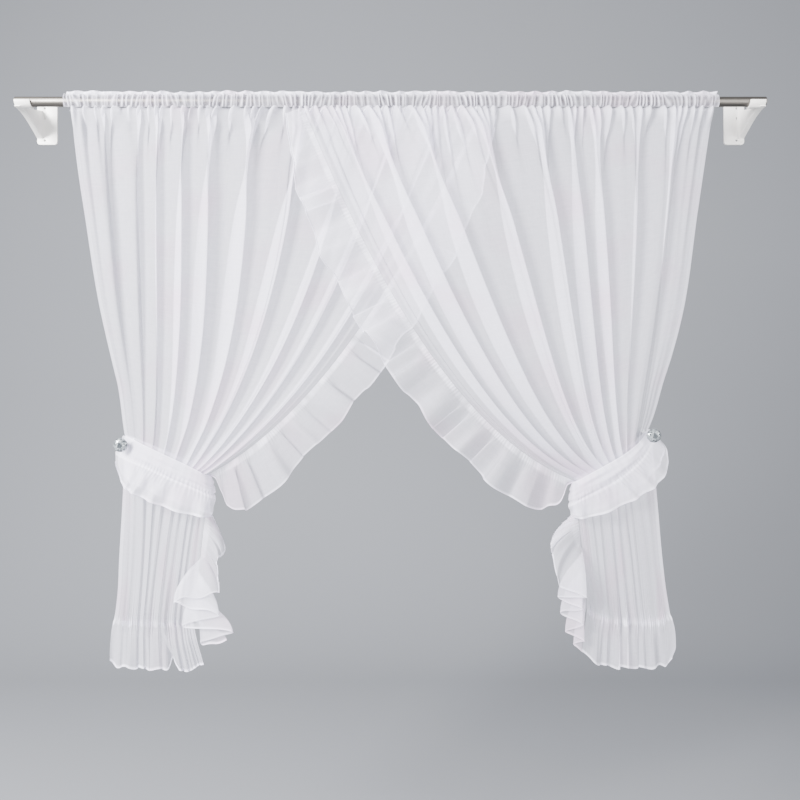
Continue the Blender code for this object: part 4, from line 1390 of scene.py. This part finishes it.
@dataclass
class SideRuffles:
    """The wide gathered strips down the panels' inner edges."""

    flat: tuple = (1.90, 0.09)
    station: float = 0.0013
    flare_columns: int = 26
    flare_closeness: float = 1.15
    slope_span: float = 0.03
    full_reach: float = 0.05
    crinkle_pitch: float = 0.0062
    crinkle: float = 0.0006
    crinkle_lean: float = 1.1
    edge_wave: float = 0.0055
    crease_pitch: float = 0.036
    crease: float = 0.0050
    crease_lean: float = 1.6
    crease_fan: float = 0.8
    least_depth: float = 0.02
    waver_reach: float = 0.06
    strip_blur: float = 0.002
    pucker_reach: float = 2.4
    cascade_density: float = 3.0
    cascade_size: float = 0.50
    cascade_tightness: float = 2.3
    uneven_waves: tuple = ((1.1, 33.0, 1.0), (0.6, 71.0, 0.0))
    waver_waves: tuple = ((0.7, 46.0, 0.7), (0.3, 83.0, 2.0))
    pucker_waves: tuple = ((1.3, 173.0, 0.0), (0.9, 263.0, 1.0))

    def flutes(self, panel: Panel) -> tuple:
        """Return the levels down the seam and the count of flutes above each.

        The stops are those of the solid ruffle, so that the flutes fall in the same
        places.

        Args:
            panel: the panel that the ruffle edges.

        Returns:
            The levels and the counts, as two arrays.
        """
        levels = np.array(sorted({*PANEL_ROWS, *RUFFLE_STOPS}))
        pitches = np.interp(
            (levels[1:] + levels[:-1]) / 2.0,
            [row.level for row in RUFFLE_LEVELS], [row.pitch for row in RUFFLE_LEVELS],
        )
        points = panel.edge_point(levels)
        waves = [0.0]
        for start, end, pitch in zip(points, points[1:], pitches):
            steps = max(1, round(float(np.linalg.norm(end - start)) / pitch * STATIONS_PER_FLUTE))
            waves.append(waves[-1] + steps / STATIONS_PER_FLUTE)
        return levels, np.array(waves)

    def stations(self, panel: Panel) -> Array:
        """Return levels evenly spaced along the seam, closer down the cascade.

        Args:
            panel: the panel that the ruffle edges.

        Returns:
            The levels, in rising order.
        """
        level = np.linspace(0.0, 3.0, 3000)
        steps = np.linalg.norm(np.diff(panel.edge_point(level), axis=0), axis=-1)
        steps = steps * np.where(level[1:] > CASCADE_START, self.cascade_density, 1.0)
        run = running(steps)
        return np.interp(np.arange(0.0, run[-1], self.station), run, level)

    @staticmethod
    def cascade_front(panel: Panel, level: Array) -> Array:
        """Return how far forward the free edge lies, stepping back round each turn.

        Args:
            panel: the panel that the ruffle edges.
            level: levels down the seam.

        Returns:
            The distance forward at each level.
        """
        front = np.full_like(level, panel.cascade[0].front)
        for before, after in zip(panel.cascade, panel.cascade[1:]):
            stepped = smooth_step(level, after.level - after.turn, after.level + after.turn)
            front += (after.front - before.front) * stepped
        return front

    def slope(self, panel: Panel, level: Array) -> tuple:
        """Return the unit directions down the seam and away from the panel.

        Args:
            panel: the panel that the ruffle edges.
            level: levels down the seam.

        Returns:
            Both directions at each level, with an axis for the ruffle's width.
        """
        down = panel.edge_point(np.minimum(level + self.slope_span, 4.0))
        down = down - panel.edge_point(np.maximum(level - self.slope_span, 0.0))
        down[:, 1] = 0.0
        down = unit(down)
        away = np.stack([-down[:, 2], np.zeros(len(down)), down[:, 0]], -1) * panel.inward
        return down[:, None, :], away[:, None, :]

    def points(self, panel: Panel) -> tuple:
        """Return the ruffle's points and how much extra thread each holds.

        Args:
            panel: the panel that the ruffle edges.

        Returns:
            The points, a row for each station, and the thread at each.
        """
        level = self.stations(panel)
        seam = panel.edge_point(level)
        run = running(np.linalg.norm(np.diff(seam, axis=0), axis=-1))
        down, away = self.slope(panel, level)
        stops, waves = self.flutes(panel)
        phase = (math.tau * flow(stops, waves, level))[:, None]
        flare = np.linspace(0.0, 1.0, self.flare_columns)[None, :] ** self.flare_closeness
        falling = (level > CASCADE_START)[:, None]

        def read(name: str) -> Array:
            """Return a column of the ruffle's tables at each station."""
            upper = column(RUFFLE_LEVELS, name, level)[:, None]
            return np.where(falling, column(panel.cascade, name, level)[:, None], upper)

        reach = read("reach")
        drop = read("drop") * np.where(falling, 1.0, panel.ruffle_drop)
        lift = np.where(falling, self.cascade_front(panel, level)[:, None], read("front"))
        opening = flare * (2.0 - flare)
        spread = smooth_step(level, CASCADE_START, CASCADE_FULL)[:, None]
        wave = np.sin(phase) + UNEVEN_FLUTE * np.sin(phase * UNEVEN_RATE + 1.0)
        flute = column(RUFFLE_LEVELS, "flute", level)[:, None]
        depth = np.hypot(reach, drop)
        size = np.minimum(1.0, depth / self.full_reach) * lerp(1.0, self.cascade_size, spread)
        distance = flare * np.maximum(depth, self.least_depth)

        uneven = ripples(run, *self.uneven_waves)
        crease = self.creases(panel, run, uneven, flare, spread) * size
        pucker = self.puckers(run, uneven, distance) * size
        front = (lift + flute * wave) * opening + crease + pucker
        waver = ripples(run, *self.waver_waves)[:, None]
        waver = waver * flare * (1.0 - spread) * np.minimum(1.0, depth / self.waver_reach)
        sideways = reach * lerp(flare, opening, spread) + self.edge_wave * waver
        points = seam[:, None, :] + away * (SIDE_SEAM_GAP + sideways)[..., None]
        points = points - down * (self.crease_lean * crease + self.crinkle_lean * pucker)[..., None]
        points[..., 1] -= front
        points[..., 2] -= drop * flare ** lerp(1.0, 1.2, spread)
        strip = fade(distance, SEAM_STRIP - self.strip_blur, SEAM_STRIP + self.strip_blur)
        patchy = 0.42 + 0.20 * np.sin(run * 31.0 + 3.0 * uneven) + 0.06 * np.sin(run * 331.0)
        return points, patchy[:, None] * strip * lerp(1.0, 0.5, spread)

    def creases(
        self, panel: Panel, run: Array, uneven: Array, flare: Array, spread: Array
    ) -> Array:
        """Return the long soft creases that fan from the gathers to the free edge.

        Args:
            panel: the panel that the ruffle edges.
            run: distances along the seam.
            uneven: how far each place's phase wanders.
            flare: shares of the way to the free edge.
            spread: how far each place has opened into the cascade.

        Returns:
            Their depth at each point.
        """
        phase = (math.tau * run / self.crease_pitch + uneven)[:, None]
        phase = phase * lerp(1.0, self.cascade_tightness, spread) + self.crease_fan * flare
        gate = np.sin(run * 37.0 + 0.5) * np.sin(run * 14.0 + panel.inward)
        gate = 0.30 + 0.70 * smooth_step(gate, -0.1, 0.7)[:, None]
        return self.crease * gate * np.sin(phase) * smooth_step(flare, 0.0, 0.5)

    def puckers(self, run: Array, uneven: Array, distance: Array) -> Array:
        """Return the small puckers beside the stitching.

        Args:
            run: distances along the seam.
            uneven: how far each place's phase wanders.
            distance: each point's distance from the seam.

        Returns:
            Their depth at each point.
        """
        wander = 2.2 * uneven + ripples(run, *self.pucker_waves)
        phase = (math.tau * run / self.crinkle_pitch + wander)[:, None]
        size = (0.70 + 0.30 * np.sin(run * 61.0) * np.sin(run * 29.0 + 0.4))[:, None]
        beside = fade(distance, SEAM_STRIP, SEAM_STRIP * self.pucker_reach)
        return self.crinkle * size * np.sin(phase) * beside

    def build(self, panel: Panel, finishes: Finishes) -> None:
        """Build one side ruffle with its stitched strip and rolled free edge.

        Args:
            panel: the panel that it edges.
            finishes: the finishes to dress it with.
        """
        ClothPiece(
            f"side_ruffle_{panel.name}", self.flat, Held.GATHERED, (f"panel_{panel.name}",)
        ).finish(*hemmed(*self.points(panel)), panel.inward < 0, finishes)


@dataclass
class Ties:
    """The plain bands round the panels and the ruffles on their lower edges."""

    band_flat: tuple = (0.48, 0.040)
    ruffle_flat: tuple = (0.62, 0.055)
    stations: int = 560
    band_columns: int = 18
    ruffle_columns: int = 20
    bulge: float = 0.0045
    wrinkle: float = 0.0013
    crumples: tuple = ((0.0016, 7.0, 1.0), (0.0010, 13.0, 0.0))
    stitch_rows: tuple = (0.86, 0.96)
    pucker: float = 0.0006
    pucker_pitch: float = 0.008
    crease: float = 0.0011
    crease_pitch: float = 0.026
    crease_waves: tuple = ((1.6, 47.0, 1.0), (0.9, 113.0, 0.0))
    small_lean: float = 0.8
    rear_turn: tuple = (TIE_UPRIGHT_END - 0.030, TIE_UPRIGHT_END + 0.008)
    end_turn: float = 0.090
    end_calm: tuple = (0.004, 0.05)
    seam_gap: float = 0.0003
    seam_strip: tuple = (0.003, 0.007)
    corner: float = 0.022
    corner_frill: float = 0.45
    top_round: float = 0.010
    foot_round: float = 0.009

    def path(self, panel: Panel) -> dict:
        """Return the tie's stations, evenly spread, as named columns.

        Args:
            panel: the panel that the tie holds.

        Returns:
            The columns of a station, its run along the tie, and how far it faces out.
        """
        count = len(panel.tie)
        fine = np.linspace(0.0, count - 1.0, 4 * self.stations)
        rough = {
            name: self.catmull([getattr(row, name) for row in panel.tie], fine)
            for name in TieStation._fields
        }
        step = np.hypot(np.diff(rough["along"]), np.diff(rough["y"]))
        run = running(step)
        at = np.linspace(0.0, run[-1], self.stations)
        path = {name: np.interp(at, run, values) for name, values in rough.items()}
        path["run"] = at
        middle = column(LEVELS, "set_back", np.array([1.0]))[0] - ROD_STANDOFF
        path["outward"] = np.clip((path["y"] - middle) / 0.02, -1.0, 1.0)
        return path

    @staticmethod
    def catmull(values: Sequence[float], places: Array) -> Array:
        """Return a smooth curve through evenly spaced values.

        Args:
            values: the values, one step apart.
            places: where the curve is read, in steps.

        Returns:
            The curve's value at each place.
        """
        values = np.array(values)
        row = np.clip(places.astype(int), 0, len(values) - 2)
        share = places - row
        a, b, c, d = (values[np.clip(row + offset, 0, len(values) - 1)] for offset in (-1, 0, 1, 2))
        bend = (2.0 * a - 5.0 * b + 4.0 * c - d) * share ** 2
        twist = (3.0 * b - a - 3.0 * c + d) * share ** 3
        return b + 0.5 * ((c - a) * share + bend + twist)

    def turn(self, along: Array) -> Array:
        """Return how near each place is to the tie's turn behind the gathered cloth."""
        return smooth_step(along, *self.rear_turn)

    def puckers(self, run: Array) -> Array:
        """Return the small puckers along the seam between band and ruffle."""
        return self.pucker * np.sin(math.tau * run / self.pucker_pitch + 2.0 * np.sin(61.0 * run))

    def build_band(self, panel: Panel, finishes: Finishes) -> None:
        """Build the plain band, softly rounded and creased along its length.

        Args:
            panel: the panel that it holds.
            finishes: the finishes to dress it with.
        """
        path = self.path(panel)
        side = np.linspace(1.0, -1.0, self.band_columns)[None, :]
        along, run = path["along"][:, None], path["run"][:, None]
        rise = path["rise"][:, None] + path["half_height"][:, None] * side
        rounding = self.top_round * (0.5 + 0.5 * side) ** 2.5 + ripples(side, *self.crumples)
        along = along - self.turn(along) * rounding
        points = planar(panel.tie_point(along, rise), path["y"][:, None])
        wrinkle = np.sin(5.2 * side + 34.0 * run + panel.inward)
        wrinkle = self.wrinkle * (wrinkle + 0.6 * np.sin(9.0 * side - 21.0 * run + 0.7))
        ends = smooth_step(np.minimum(run, run[-1] - run), *self.end_calm)
        push = (self.bulge * (1.0 - side ** 2) + wrinkle * (1.0 - side ** 4)) * ends
        push = push + self.puckers(run) * smooth_step(-side, 0.1, 0.9)
        points[..., 1] += path["outward"][:, None] * push
        full = 0.35 + 0.4 * smooth_step(np.abs(side), *self.stitch_rows)
        full = np.broadcast_to(full, points.shape[:2])
        ClothPiece(
            f"tie_band_{panel.name}", self.band_flat, Held.DRAPED,
            (f"knob_stem_{panel.name}", f"panel_{panel.name}"),
        ).finish(points, full, panel.inward < 0, finishes)

    def falls(self, panel: Panel, along: Array) -> Array:
        """Return the unit direction in which the ruffle falls from each place.

        Args:
            panel: the panel that the tie holds.
            along: distances from the knob.

        Returns:
            The directions, fanned beside the knob and upright behind the cloth.
        """
        along_axis, up_axis = panel.tie_axes()
        upright = smooth_step(along, TIE_UPRIGHT_START, TIE_UPRIGHT_END)
        fan = TIE_RUFFLE_FAN * fade(along, 0.0, TIE_UPRIGHT_END)
        fall = np.stack([
            lerp(-up_axis[0], 0.0, upright) - along_axis[0] * fan,
            np.zeros(len(fan)),
            lerp(-up_axis[1], -1.0, upright) - along_axis[1] * fan,
        ], -1)
        hanging = fade(along, -0.009, self.end_turn)[:, None]
        return unit(lerp(unit(fall), np.array((0.0, 0.0, -1.0)), hanging * panel.tie_hang))

    def build_ruffle(self, panel: Panel, finishes: Finishes) -> None:
        """Build the ruffle on the band's lower edge, its free edge rolled.

        Args:
            panel: the panel that its band holds.
            finishes: the finishes to dress it with.
        """
        path = self.path(panel)
        flare = np.linspace(0.0, 1.0, self.ruffle_columns)[None, :]
        along, run = path["along"][:, None], path["run"][:, None]
        low = path["rise"] - path["half_height"] - self.seam_gap
        seam = planar(panel.tie_point(path["along"], low), path["y"])[:, None, :]
        fall = self.falls(panel, path["along"])[:, None, :]
        near = np.minimum(run, run[-1] - run)
        corner = np.sqrt(1.0 - (1.0 - np.clip(near / self.corner, 0.0, 1.0)) ** 2)
        frill = path["frill"][:, None] * lerp(self.corner_frill, 1.0, corner)
        wave = TIE_RUFFLE_FLUTE * np.sin(math.tau * run / TIE_RUFFLE_PITCH)
        uneven = ripples(run, *self.crease_waves)
        crease = self.crease * np.sin(math.tau * run / self.crease_pitch + uneven)
        crease = crease * smooth_step(flare, 0.0, 0.6) * (0.6 + 0.4 * np.sin(29.0 * run))
        small = crease + self.puckers(run) * fade(flare, 0.1, 0.5)
        points = seam + fall * (frill * flare)[..., None]
        tangent = unit(np.gradient(seam[:, 0, :], axis=0))[:, None, :]
        points = points - tangent * (self.small_lean * small)[..., None]
        inward = self.turn(along) * (self.foot_round * flare ** 2.2 - 0.0012 * np.sin(9.0 * flare))
        points[..., 0] -= panel.inward * inward
        out = flare * (TIE_RUFFLE_FLARE + wave) + small
        points[..., 1] += path["outward"][:, None] * out
        distance = flare * frill
        full = 0.15 + 0.6 * fade(distance, *self.seam_strip)
        ClothPiece(
            f"tie_ruffle_{panel.name}", self.ruffle_flat, Held.GATHERED,
            (f"tie_band_{panel.name}",),
        ).finish(*hemmed(points, full, frill - distance), panel.inward < 0, finishes)


@dataclass
class Heading:
    """The gathered rod pocket with the frill that stands above it.

    Its outline runs up the front from the seam, as distances before the rod's centre,
    heights, and shares of the gathers' depth.
    """

    flat: tuple = (1.60, 0.090)
    station: float = 0.0009
    gather_pitch: float = 0.0175
    crinkle_pitch: float = 0.0085
    gather: float = 0.0022
    crinkle: float = 0.0020
    frill_sway: float = 0.0042
    slant: float = 260.0
    wander_waves: tuple = (
        (0.55, 19.0, 0.4), (0.45, 43.0, 0.0), (0.30, 97.0, 1.3), (0.20, 151.0, 2.0),
    )
    pocket_radius: float = 0.013
    stitching: float = 0.0135
    outline: tuple = (
        (0.0112, POCKET_BOTTOM, 0.25), (0.0120, -0.0118, 0.6), (0.0127, -0.0090, 0.9),
        (0.0132, -0.0060, 1.0), (0.0136, -0.0020, 1.0), (0.0135, 0.0020, 1.0),
        (0.0127, 0.0058, 0.95), (0.0108, 0.0090, 0.85), (0.0080, 0.0115, 0.65),
        (0.0040, 0.0130, 0.35), (0.0014, 0.0140, 0.20), (0.0012, 0.0158, 0.4),
        (0.0012, 0.0176, 0.6), (0.0011, 0.0194, 0.8), (0.0009, FRILL_TOP - 0.0006, 1.0),
        (0.0000, FRILL_TOP, 1.0),
    )

    def wander(self, run: Array) -> Array:
        """Return an uneven wave along the rod, about one in size, that never repeats."""
        return ripples(run, *self.wander_waves)

    def build(self, finishes: Finishes) -> None:
        """Build the pocket and frill as one folded strip, seamed under the rod.

        Args:
            finishes: the finishes to dress it with.
        """
        length = POCKET_RIGHT_END - POCKET_LEFT_END
        run = np.linspace(0.0, length, round(length / self.station))[:, None]
        front = [(-y, z, share) for y, z, share in self.outline]
        back = list(reversed(self.outline[:-1]))
        y, z, share = (np.array(values)[None, :] for values in zip(*front, *back))
        uneven = self.wander(run)
        phase = math.tau * run / self.gather_pitch + 1.8 * uneven
        slant = self.slant * np.sin(31.0 * run + 0.6) * (0.6 + 0.4 * np.sin(87.0 * run))
        fine = math.tau * run / self.crinkle_pitch + 3.4 * self.wander(1.7 * run + 0.3) + slant * z
        size = 0.70 + 0.45 * np.sin(11.0 * run) * np.sin(29.0 * run + 1.0)
        crest = 0.5 + 0.5 * np.sin(fine)
        strength = 0.55 + 0.45 * np.sin(53.0 * run + 0.8) * np.sin(17.0 * run)
        push = self.gather * np.sin(phase) * size + 2.0 * self.crinkle * crest ** 2 * strength
        frill = smooth_step(z, self.stitching, FRILL_TOP)
        sway = self.frill_sway * np.sin(phase * 0.5 + 0.8) * size + 0.0012 * np.sin(fine * 0.5)
        lift = 0.0012 * uneven + 0.0010 * np.sin(phase * 0.5 + 2.0) + 0.0005 * np.sin(fine * 0.5)
        tube = np.where(frill > 0.0, 1.0, 1.0 + push * share / self.pocket_radius)
        points = np.stack(np.broadcast_arrays(
            POCKET_LEFT_END + run + 0.0010 * np.cos(phase) * share,
            -ROD_STANDOFF + y * tube + sway * frill,
            np.where(frill > 0.0, z + lift * frill, z * np.where(z < -0.0125, 1.0, tube)),
        ), -1)
        # Extra cover on the crinkle crests: partly the thread bunched there, partly a painted
        # highlight on the ridges.
        full = 1.30 * crest ** 4 * strength * share
        seam = 0.5 * fade(np.abs(z - self.stitching), 0.001, 0.003)
        full = np.maximum(full, seam)
        full = np.where(z > 0.016, 0.62 + 0.35 * crest ** 2, full)
        # Painted shade: the cloth's colour is darkened in the valleys of the crinkles round the
        # rod.
        tunnel = smooth_step(z, -0.0150, -0.0110) * fade(z, 0.0020, 0.0125)
        painted_shade = tunnel * (0.22 + 0.75 * (1.0 - crest) ** 2) * (0.75 + 0.25 * strength)
        piece = ClothPiece("heading", self.flat, Held.GATHERED, ("rod",))
        piece.finish(points, full, True, finishes, painted_shade)


def select(piece: Optional[bpy.types.Object] = None) -> None:
    """Leave edit mode and select one piece alone, or nothing.

    Args:
        piece: the piece, none if left out.
    """
    if bpy.context.object is not None and bpy.context.object.mode != "OBJECT":
        bpy.ops.object.mode_set(mode="OBJECT")
    bpy.ops.object.select_all(action="DESELECT")
    if piece is not None:
        bpy.context.view_layer.objects.active = piece
        piece.select_set(True)


def edit(
    piece: bpy.types.Object, mode: str, wanted: Callable[[Vector, Vector], bool], *steps: Callable
) -> None:
    """Select part of a mesh and run edit operators on it.

    Args:
        piece: the piece to edit.
        mode: the selection mode, "FACE" or "VERT".
        wanted: the test of each face or vertex, given its place and its normal.
        *steps: the operators to run, in order.
    """
    select(piece)
    mesh = piece.data
    bpy.context.tool_settings.mesh_select_mode = (mode == "VERT", False, mode == "FACE")
    for group in (mesh.polygons, mesh.edges, mesh.vertices):
        group.foreach_set("select", [False] * len(group))
    if mode == "FACE":
        for face in mesh.polygons:
            corners = [mesh.vertices[index].co for index in face.vertices]
            face.select = wanted(sum(corners, Vector()) / len(corners), face.normal)
    else:
        for vertex in mesh.vertices:
            vertex.select = wanted(vertex.co, vertex.normal)
    bpy.ops.object.mode_set(mode="EDIT")
    for step in steps:
        step()
    bpy.ops.object.mode_set(mode="OBJECT")


def settle(piece: bpy.types.Object, name: str) -> bpy.types.Object:
    """Name a piece and put its place, turn and size into its mesh.

    Args:
        piece: the piece.
        name: its name.

    Returns:
        The same piece.
    """
    select(piece)
    bpy.ops.object.transform_apply(location=True, rotation=True, scale=True)
    piece.name = piece.data.name = name
    return piece


def ease_edges(piece: bpy.types.Object, width: float, sharp: float, smooth: float) -> None:
    """Round a piece's sharp edges and shade its faces smooth.

    Args:
        piece: the piece.
        width: how wide the rounding is.
        sharp: the angle in degrees from which an edge is rounded.
        smooth: the angle in degrees up to which faces shade as one.
    """
    bevel = piece.modifiers.new("eased edges", "BEVEL")
    bevel.width = width
    bevel.segments = 2
    bevel.angle_limit = math.radians(sharp)
    select(piece)
    bpy.ops.object.modifier_apply(modifier=bevel.name)
    bpy.ops.object.shade_smooth_by_angle(angle=math.radians(smooth))


def declare(piece: bpy.types.Object, slot: Slot, finishes: Finishes, node: str) -> None:
    """Dress a rigid piece, set it on its body and hide the solid that it replaces.

    Args:
        piece: the piece.
        slot: its material slot.
        finishes: the finishes to dress it with.
        node: the solid that it dresses.
    """
    finishes.dress(piece, slot)
    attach(piece, BODY)
    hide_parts(node)
    LOG.info("%s: %d faces", piece.name, len(piece.data.polygons))


@dataclass
class Rod:
    """The round tube, open at both ends."""

    radius: float = ROD_RADIUS
    wall: float = 0.0012
    bore_depth: float = 0.030
    ease: float = 0.0003

    def build(self, finishes: Finishes) -> None:
        """Build the tube: a cylinder with inset, hollowed ends and eased rims.

        Args:
            finishes: the finishes to dress it with.
        """
        select()
        middle = (ROD_LEFT_END + ROD_RIGHT_END) / 2.0
        bpy.ops.mesh.primitive_cylinder_add(
            vertices=64, radius=self.radius, depth=ROD_RIGHT_END - ROD_LEFT_END,
            location=(middle, -ROD_STANDOFF, 0.0), rotation=(0.0, math.pi / 2.0, 0.0),
        )
        rod = settle(bpy.context.object, "steel_rod")
        for sign in (-1.0, 1.0):
            edit(
                rod, "FACE", lambda place, normal, sign=sign: normal.x * sign > 0.9,
                lambda: bpy.ops.mesh.inset(thickness=self.wall),
                lambda sign=sign: bpy.ops.mesh.extrude_region_move(
                    TRANSFORM_OT_translate={"value": (-sign * self.bore_depth, 0.0, 0.0)}
                ),
            )
        ease_edges(rod, self.ease, 60.0, 40.0)
        declare(rod, Slot.ROD, finishes, "rod")


@dataclass
class Brackets:
    """The moulded brackets, their edges eased and the lip of the cup lowered."""

    ease: float = 0.0007
    lip_before: float = -0.080
    lip_above: float = 0.0012
    lip_left: float = 0.15

    def build(self, side: str, finishes: Finishes) -> None:
        """Build one bracket from its solid's mesh, with softened edges.

        Args:
            side: "left" or "right".
            finishes: the finishes to dress it with.
        """
        source = bpy.data.objects[f"bracket_{side}"]
        bracket = source.copy()
        bracket.data = source.data.copy()
        bpy.context.scene.collection.objects.link(bracket)
        bracket.name = bracket.data.name = f"moulded_bracket_{side}"
        bracket.hide_render = False
        edit(
            bracket, "VERT",
            lambda place, normal: place.y < self.lip_before and place.z > self.lip_above,
            lambda: bpy.ops.transform.resize(
                value=(1.0, 1.0, self.lip_left), center_override=(0.0, -ROD_STANDOFF, 0.0)
            ),
        )
        edit(
            bracket, "VERT", lambda place, normal: True,
            lambda: bpy.ops.mesh.remove_doubles(threshold=0.00002),
            lambda: bpy.ops.mesh.dissolve_limited(angle_limit=math.radians(1.0)),
        )
        ease_edges(bracket, self.ease, 50.0, 35.0)
        declare(bracket, Slot.BRACKET, finishes, f"bracket_{side}")


@dataclass
class Knobs:
    """The hold-back knobs: a turned metal stem with a cut crystal on it.

    The crystal is drawn out ring by ring from its back, as depths and spreads. Each facet's
    darkness is a painted reflection: the least darkness and what a wedge can add to it, out to
    each share of the radius.
    """

    radius: float = CRYSTAL_RADIUS
    facets: int = 12
    seat_gap: float = 0.0003
    back_share: float = 0.62
    back_depth: float = 0.0040
    rings: tuple = (
        (0.0040, 1.30), (0.0030, 1.24), (0.0035, 0.97), (0.0030, 0.80), (0.0020, 0.62),
    )
    # Painted reflection: a dark middle with lighter wedges round it.
    reflection_grades: tuple = ((0.25, 0.75, 0.25), (0.65, 0.15, 0.45), (math.inf, 0.35, 0.40))

    def build(self, panel: Panel, finishes: Finishes) -> None:
        """Build one knob's crystal and dress its stem.

        Args:
            panel: the panel whose tie it carries.
            finishes: the finishes to dress it with.
        """
        finishes.dress(bpy.data.objects[f"knob_stem_{panel.name}"], Slot.KNOB)
        select()
        x, z = panel.stem
        start = -(COLLAR_END + self.seat_gap)
        bpy.ops.mesh.primitive_cylinder_add(
            vertices=self.facets, radius=self.radius * self.back_share, depth=self.back_depth,
            location=(x, start - self.back_depth / 2.0, z), rotation=(math.pi / 2.0, 0.0, 0.0),
        )
        crystal = settle(bpy.context.object, f"cut_crystal_{panel.name}")
        centre = (x, start, z)
        for depth, spread in self.rings:
            edit(
                crystal, "FACE", lambda place, normal: normal.y < -0.95,
                lambda depth=depth: bpy.ops.mesh.extrude_region_move(
                    TRANSFORM_OT_translate={"value": (0.0, -depth, 0.0)}
                ),
                lambda spread=spread: bpy.ops.transform.resize(
                    value=(spread, 1.0, spread), center_override=centre
                ),
                lambda: bpy.ops.transform.rotate(
                    value=math.pi / self.facets, orient_axis="Y", center_override=centre
                ),
            )
        edit(
            crystal, "VERT", lambda place, normal: True,
            lambda: bpy.ops.mesh.quads_convert_to_tris(),
            lambda: bpy.ops.mesh.normals_make_consistent(inside=False),
        )
        self.reflection_grade(crystal, panel)
        declare(crystal, Slot.CRYSTAL, finishes, f"crystal_{panel.name}")

    def reflection_grade(self, crystal: bpy.types.Object, panel: Panel) -> None:
        """Paint each facet's reflection as its own darkness, in wedges round a dark middle.

        Args:
            crystal: the crystal's piece.
            panel: the panel whose tie it carries.
        """
        reflection_grades = []
        for face in crystal.data.polygons:
            x, z = face.center.x - panel.stem[0], face.center.z - panel.stem[1]
            wedge = round(math.atan2(z, x) / math.tau * 2 * self.facets)
            ring = math.hypot(x, z) / self.radius
            wave = 0.5 + 0.5 * math.sin(2.4 * wedge + 9.0 * ring)
            least, more = next(reflection_grade for limit, *reflection_grade in self.reflection_grades if ring < limit)
            reflection_grades.append(least + more * wave)
        attribute = crystal.data.attributes.new("facet", "FLOAT", "FACE")
        attribute.data.foreach_set("value", reflection_grades)


@dataclass
class Studio:
    """Plain floor and backdrop, soft lights and the camera.

    Each light has its name, its place, the point that it faces, its side and its watts.
    """

    camera: tuple = (0.0197, -1.675, -0.617)
    view_width: float = 55.3
    floor_front: float = -6.0
    backdrop_depth: float = 2.6
    backdrop_top: float = 6.0
    floor_height: float = -1.75
    half_width: float = 6.0
    curve: float = 1.2
    surroundings: str = "#E9ECF2"
    surroundings_strength: float = 0.68
    lights: tuple = (
        ("key", (-2.2, -1.9, 0.5), (0.0, -0.1, -0.6), 1.3, 545.0),
        ("fill", (2.4, -2.2, -0.2), (0.0, -0.1, -0.6), 2.4, 130.0),
        ("low fill", (0.0, -2.9, -1.5), (0.0, -0.1, -0.3), 2.0, 90.0),
    )

    def build(self) -> None:
        """Build the whole studio."""
        self.build_backdrop()
        self.build_camera()
        self.build_lights()

    def build_backdrop(self) -> None:
        """Build one sheet of studio paper: floor, sweep and backdrop."""
        middle_y, middle_z = self.backdrop_depth - self.curve, self.floor_height + self.curve
        sweep = [
            (middle_y + self.curve * math.sin(turn), middle_z - self.curve * math.cos(turn))
            for turn in np.linspace(0.0, math.pi / 2.0, 17)
        ]
        profile = [
            (self.floor_front, self.floor_height), *sweep,
            (self.backdrop_depth, self.backdrop_top),
        ]
        points = [[(x, y, z) for y, z in profile] for x in (-self.half_width, self.half_width)]
        paper, _ = grid_piece("studio_paper", np.array(points))
        paper.data.materials.append(StudioFinish().build())

    def build_camera(self) -> None:
        """Create the camera, level and square to the wall as in the photograph."""
        data = bpy.data.cameras.new("camera")
        data.sensor_fit = "HORIZONTAL"
        data.angle = math.radians(self.view_width)
        camera = bpy.data.objects.new("camera", data)
        camera.location = self.camera
        camera.rotation_euler = (math.pi / 2.0, 0.0, 0.0)
        bpy.context.scene.collection.objects.link(camera)
        bpy.context.scene.camera = camera

    def build_lights(self) -> None:
        """Create the soft lights and the pale surroundings."""
        for name, place, aim, size, power in self.lights:
            data = bpy.data.lights.new(name, "AREA")
            data.size = size
            data.energy = power
            light = bpy.data.objects.new(name, data)
            light.location = place
            direction = Vector(aim) - Vector(place)
            light.rotation_euler = direction.to_track_quat("-Z", "Y").to_euler()
            bpy.context.scene.collection.objects.link(light)
        world = bpy.data.worlds.new("soft surroundings")
        world.use_nodes = True
        feed(world.node_tree.nodes["Background"], {
            "Color": hex_colour(self.surroundings), "Strength": self.surroundings_strength,
        })
        bpy.context.scene.world = world


def main() -> None:
    """Build every piece in order."""
    logging.basicConfig(level=logging.INFO, format="%(message)s")
    bpy.context.scene.cycles.transparent_max_bounces = 48
    finishes = Finishes()
    Studio().build()
    Rod().build(finishes)
    Heading().build(finishes)
    for side in ("left", "right"):
        Brackets().build(side, finishes)
    ties = Ties()
    for panel in (LEFT_PANEL, RIGHT_PANEL):
        for maker in (MainPanels(), SideRuffles(), HemRuffles()):
            maker.build(panel, finishes)
        ties.build_band(panel, finishes)
        ties.build_ruffle(panel, finishes)
        Knobs().build(panel, finishes)


if __name__ == "__main__":
    main()
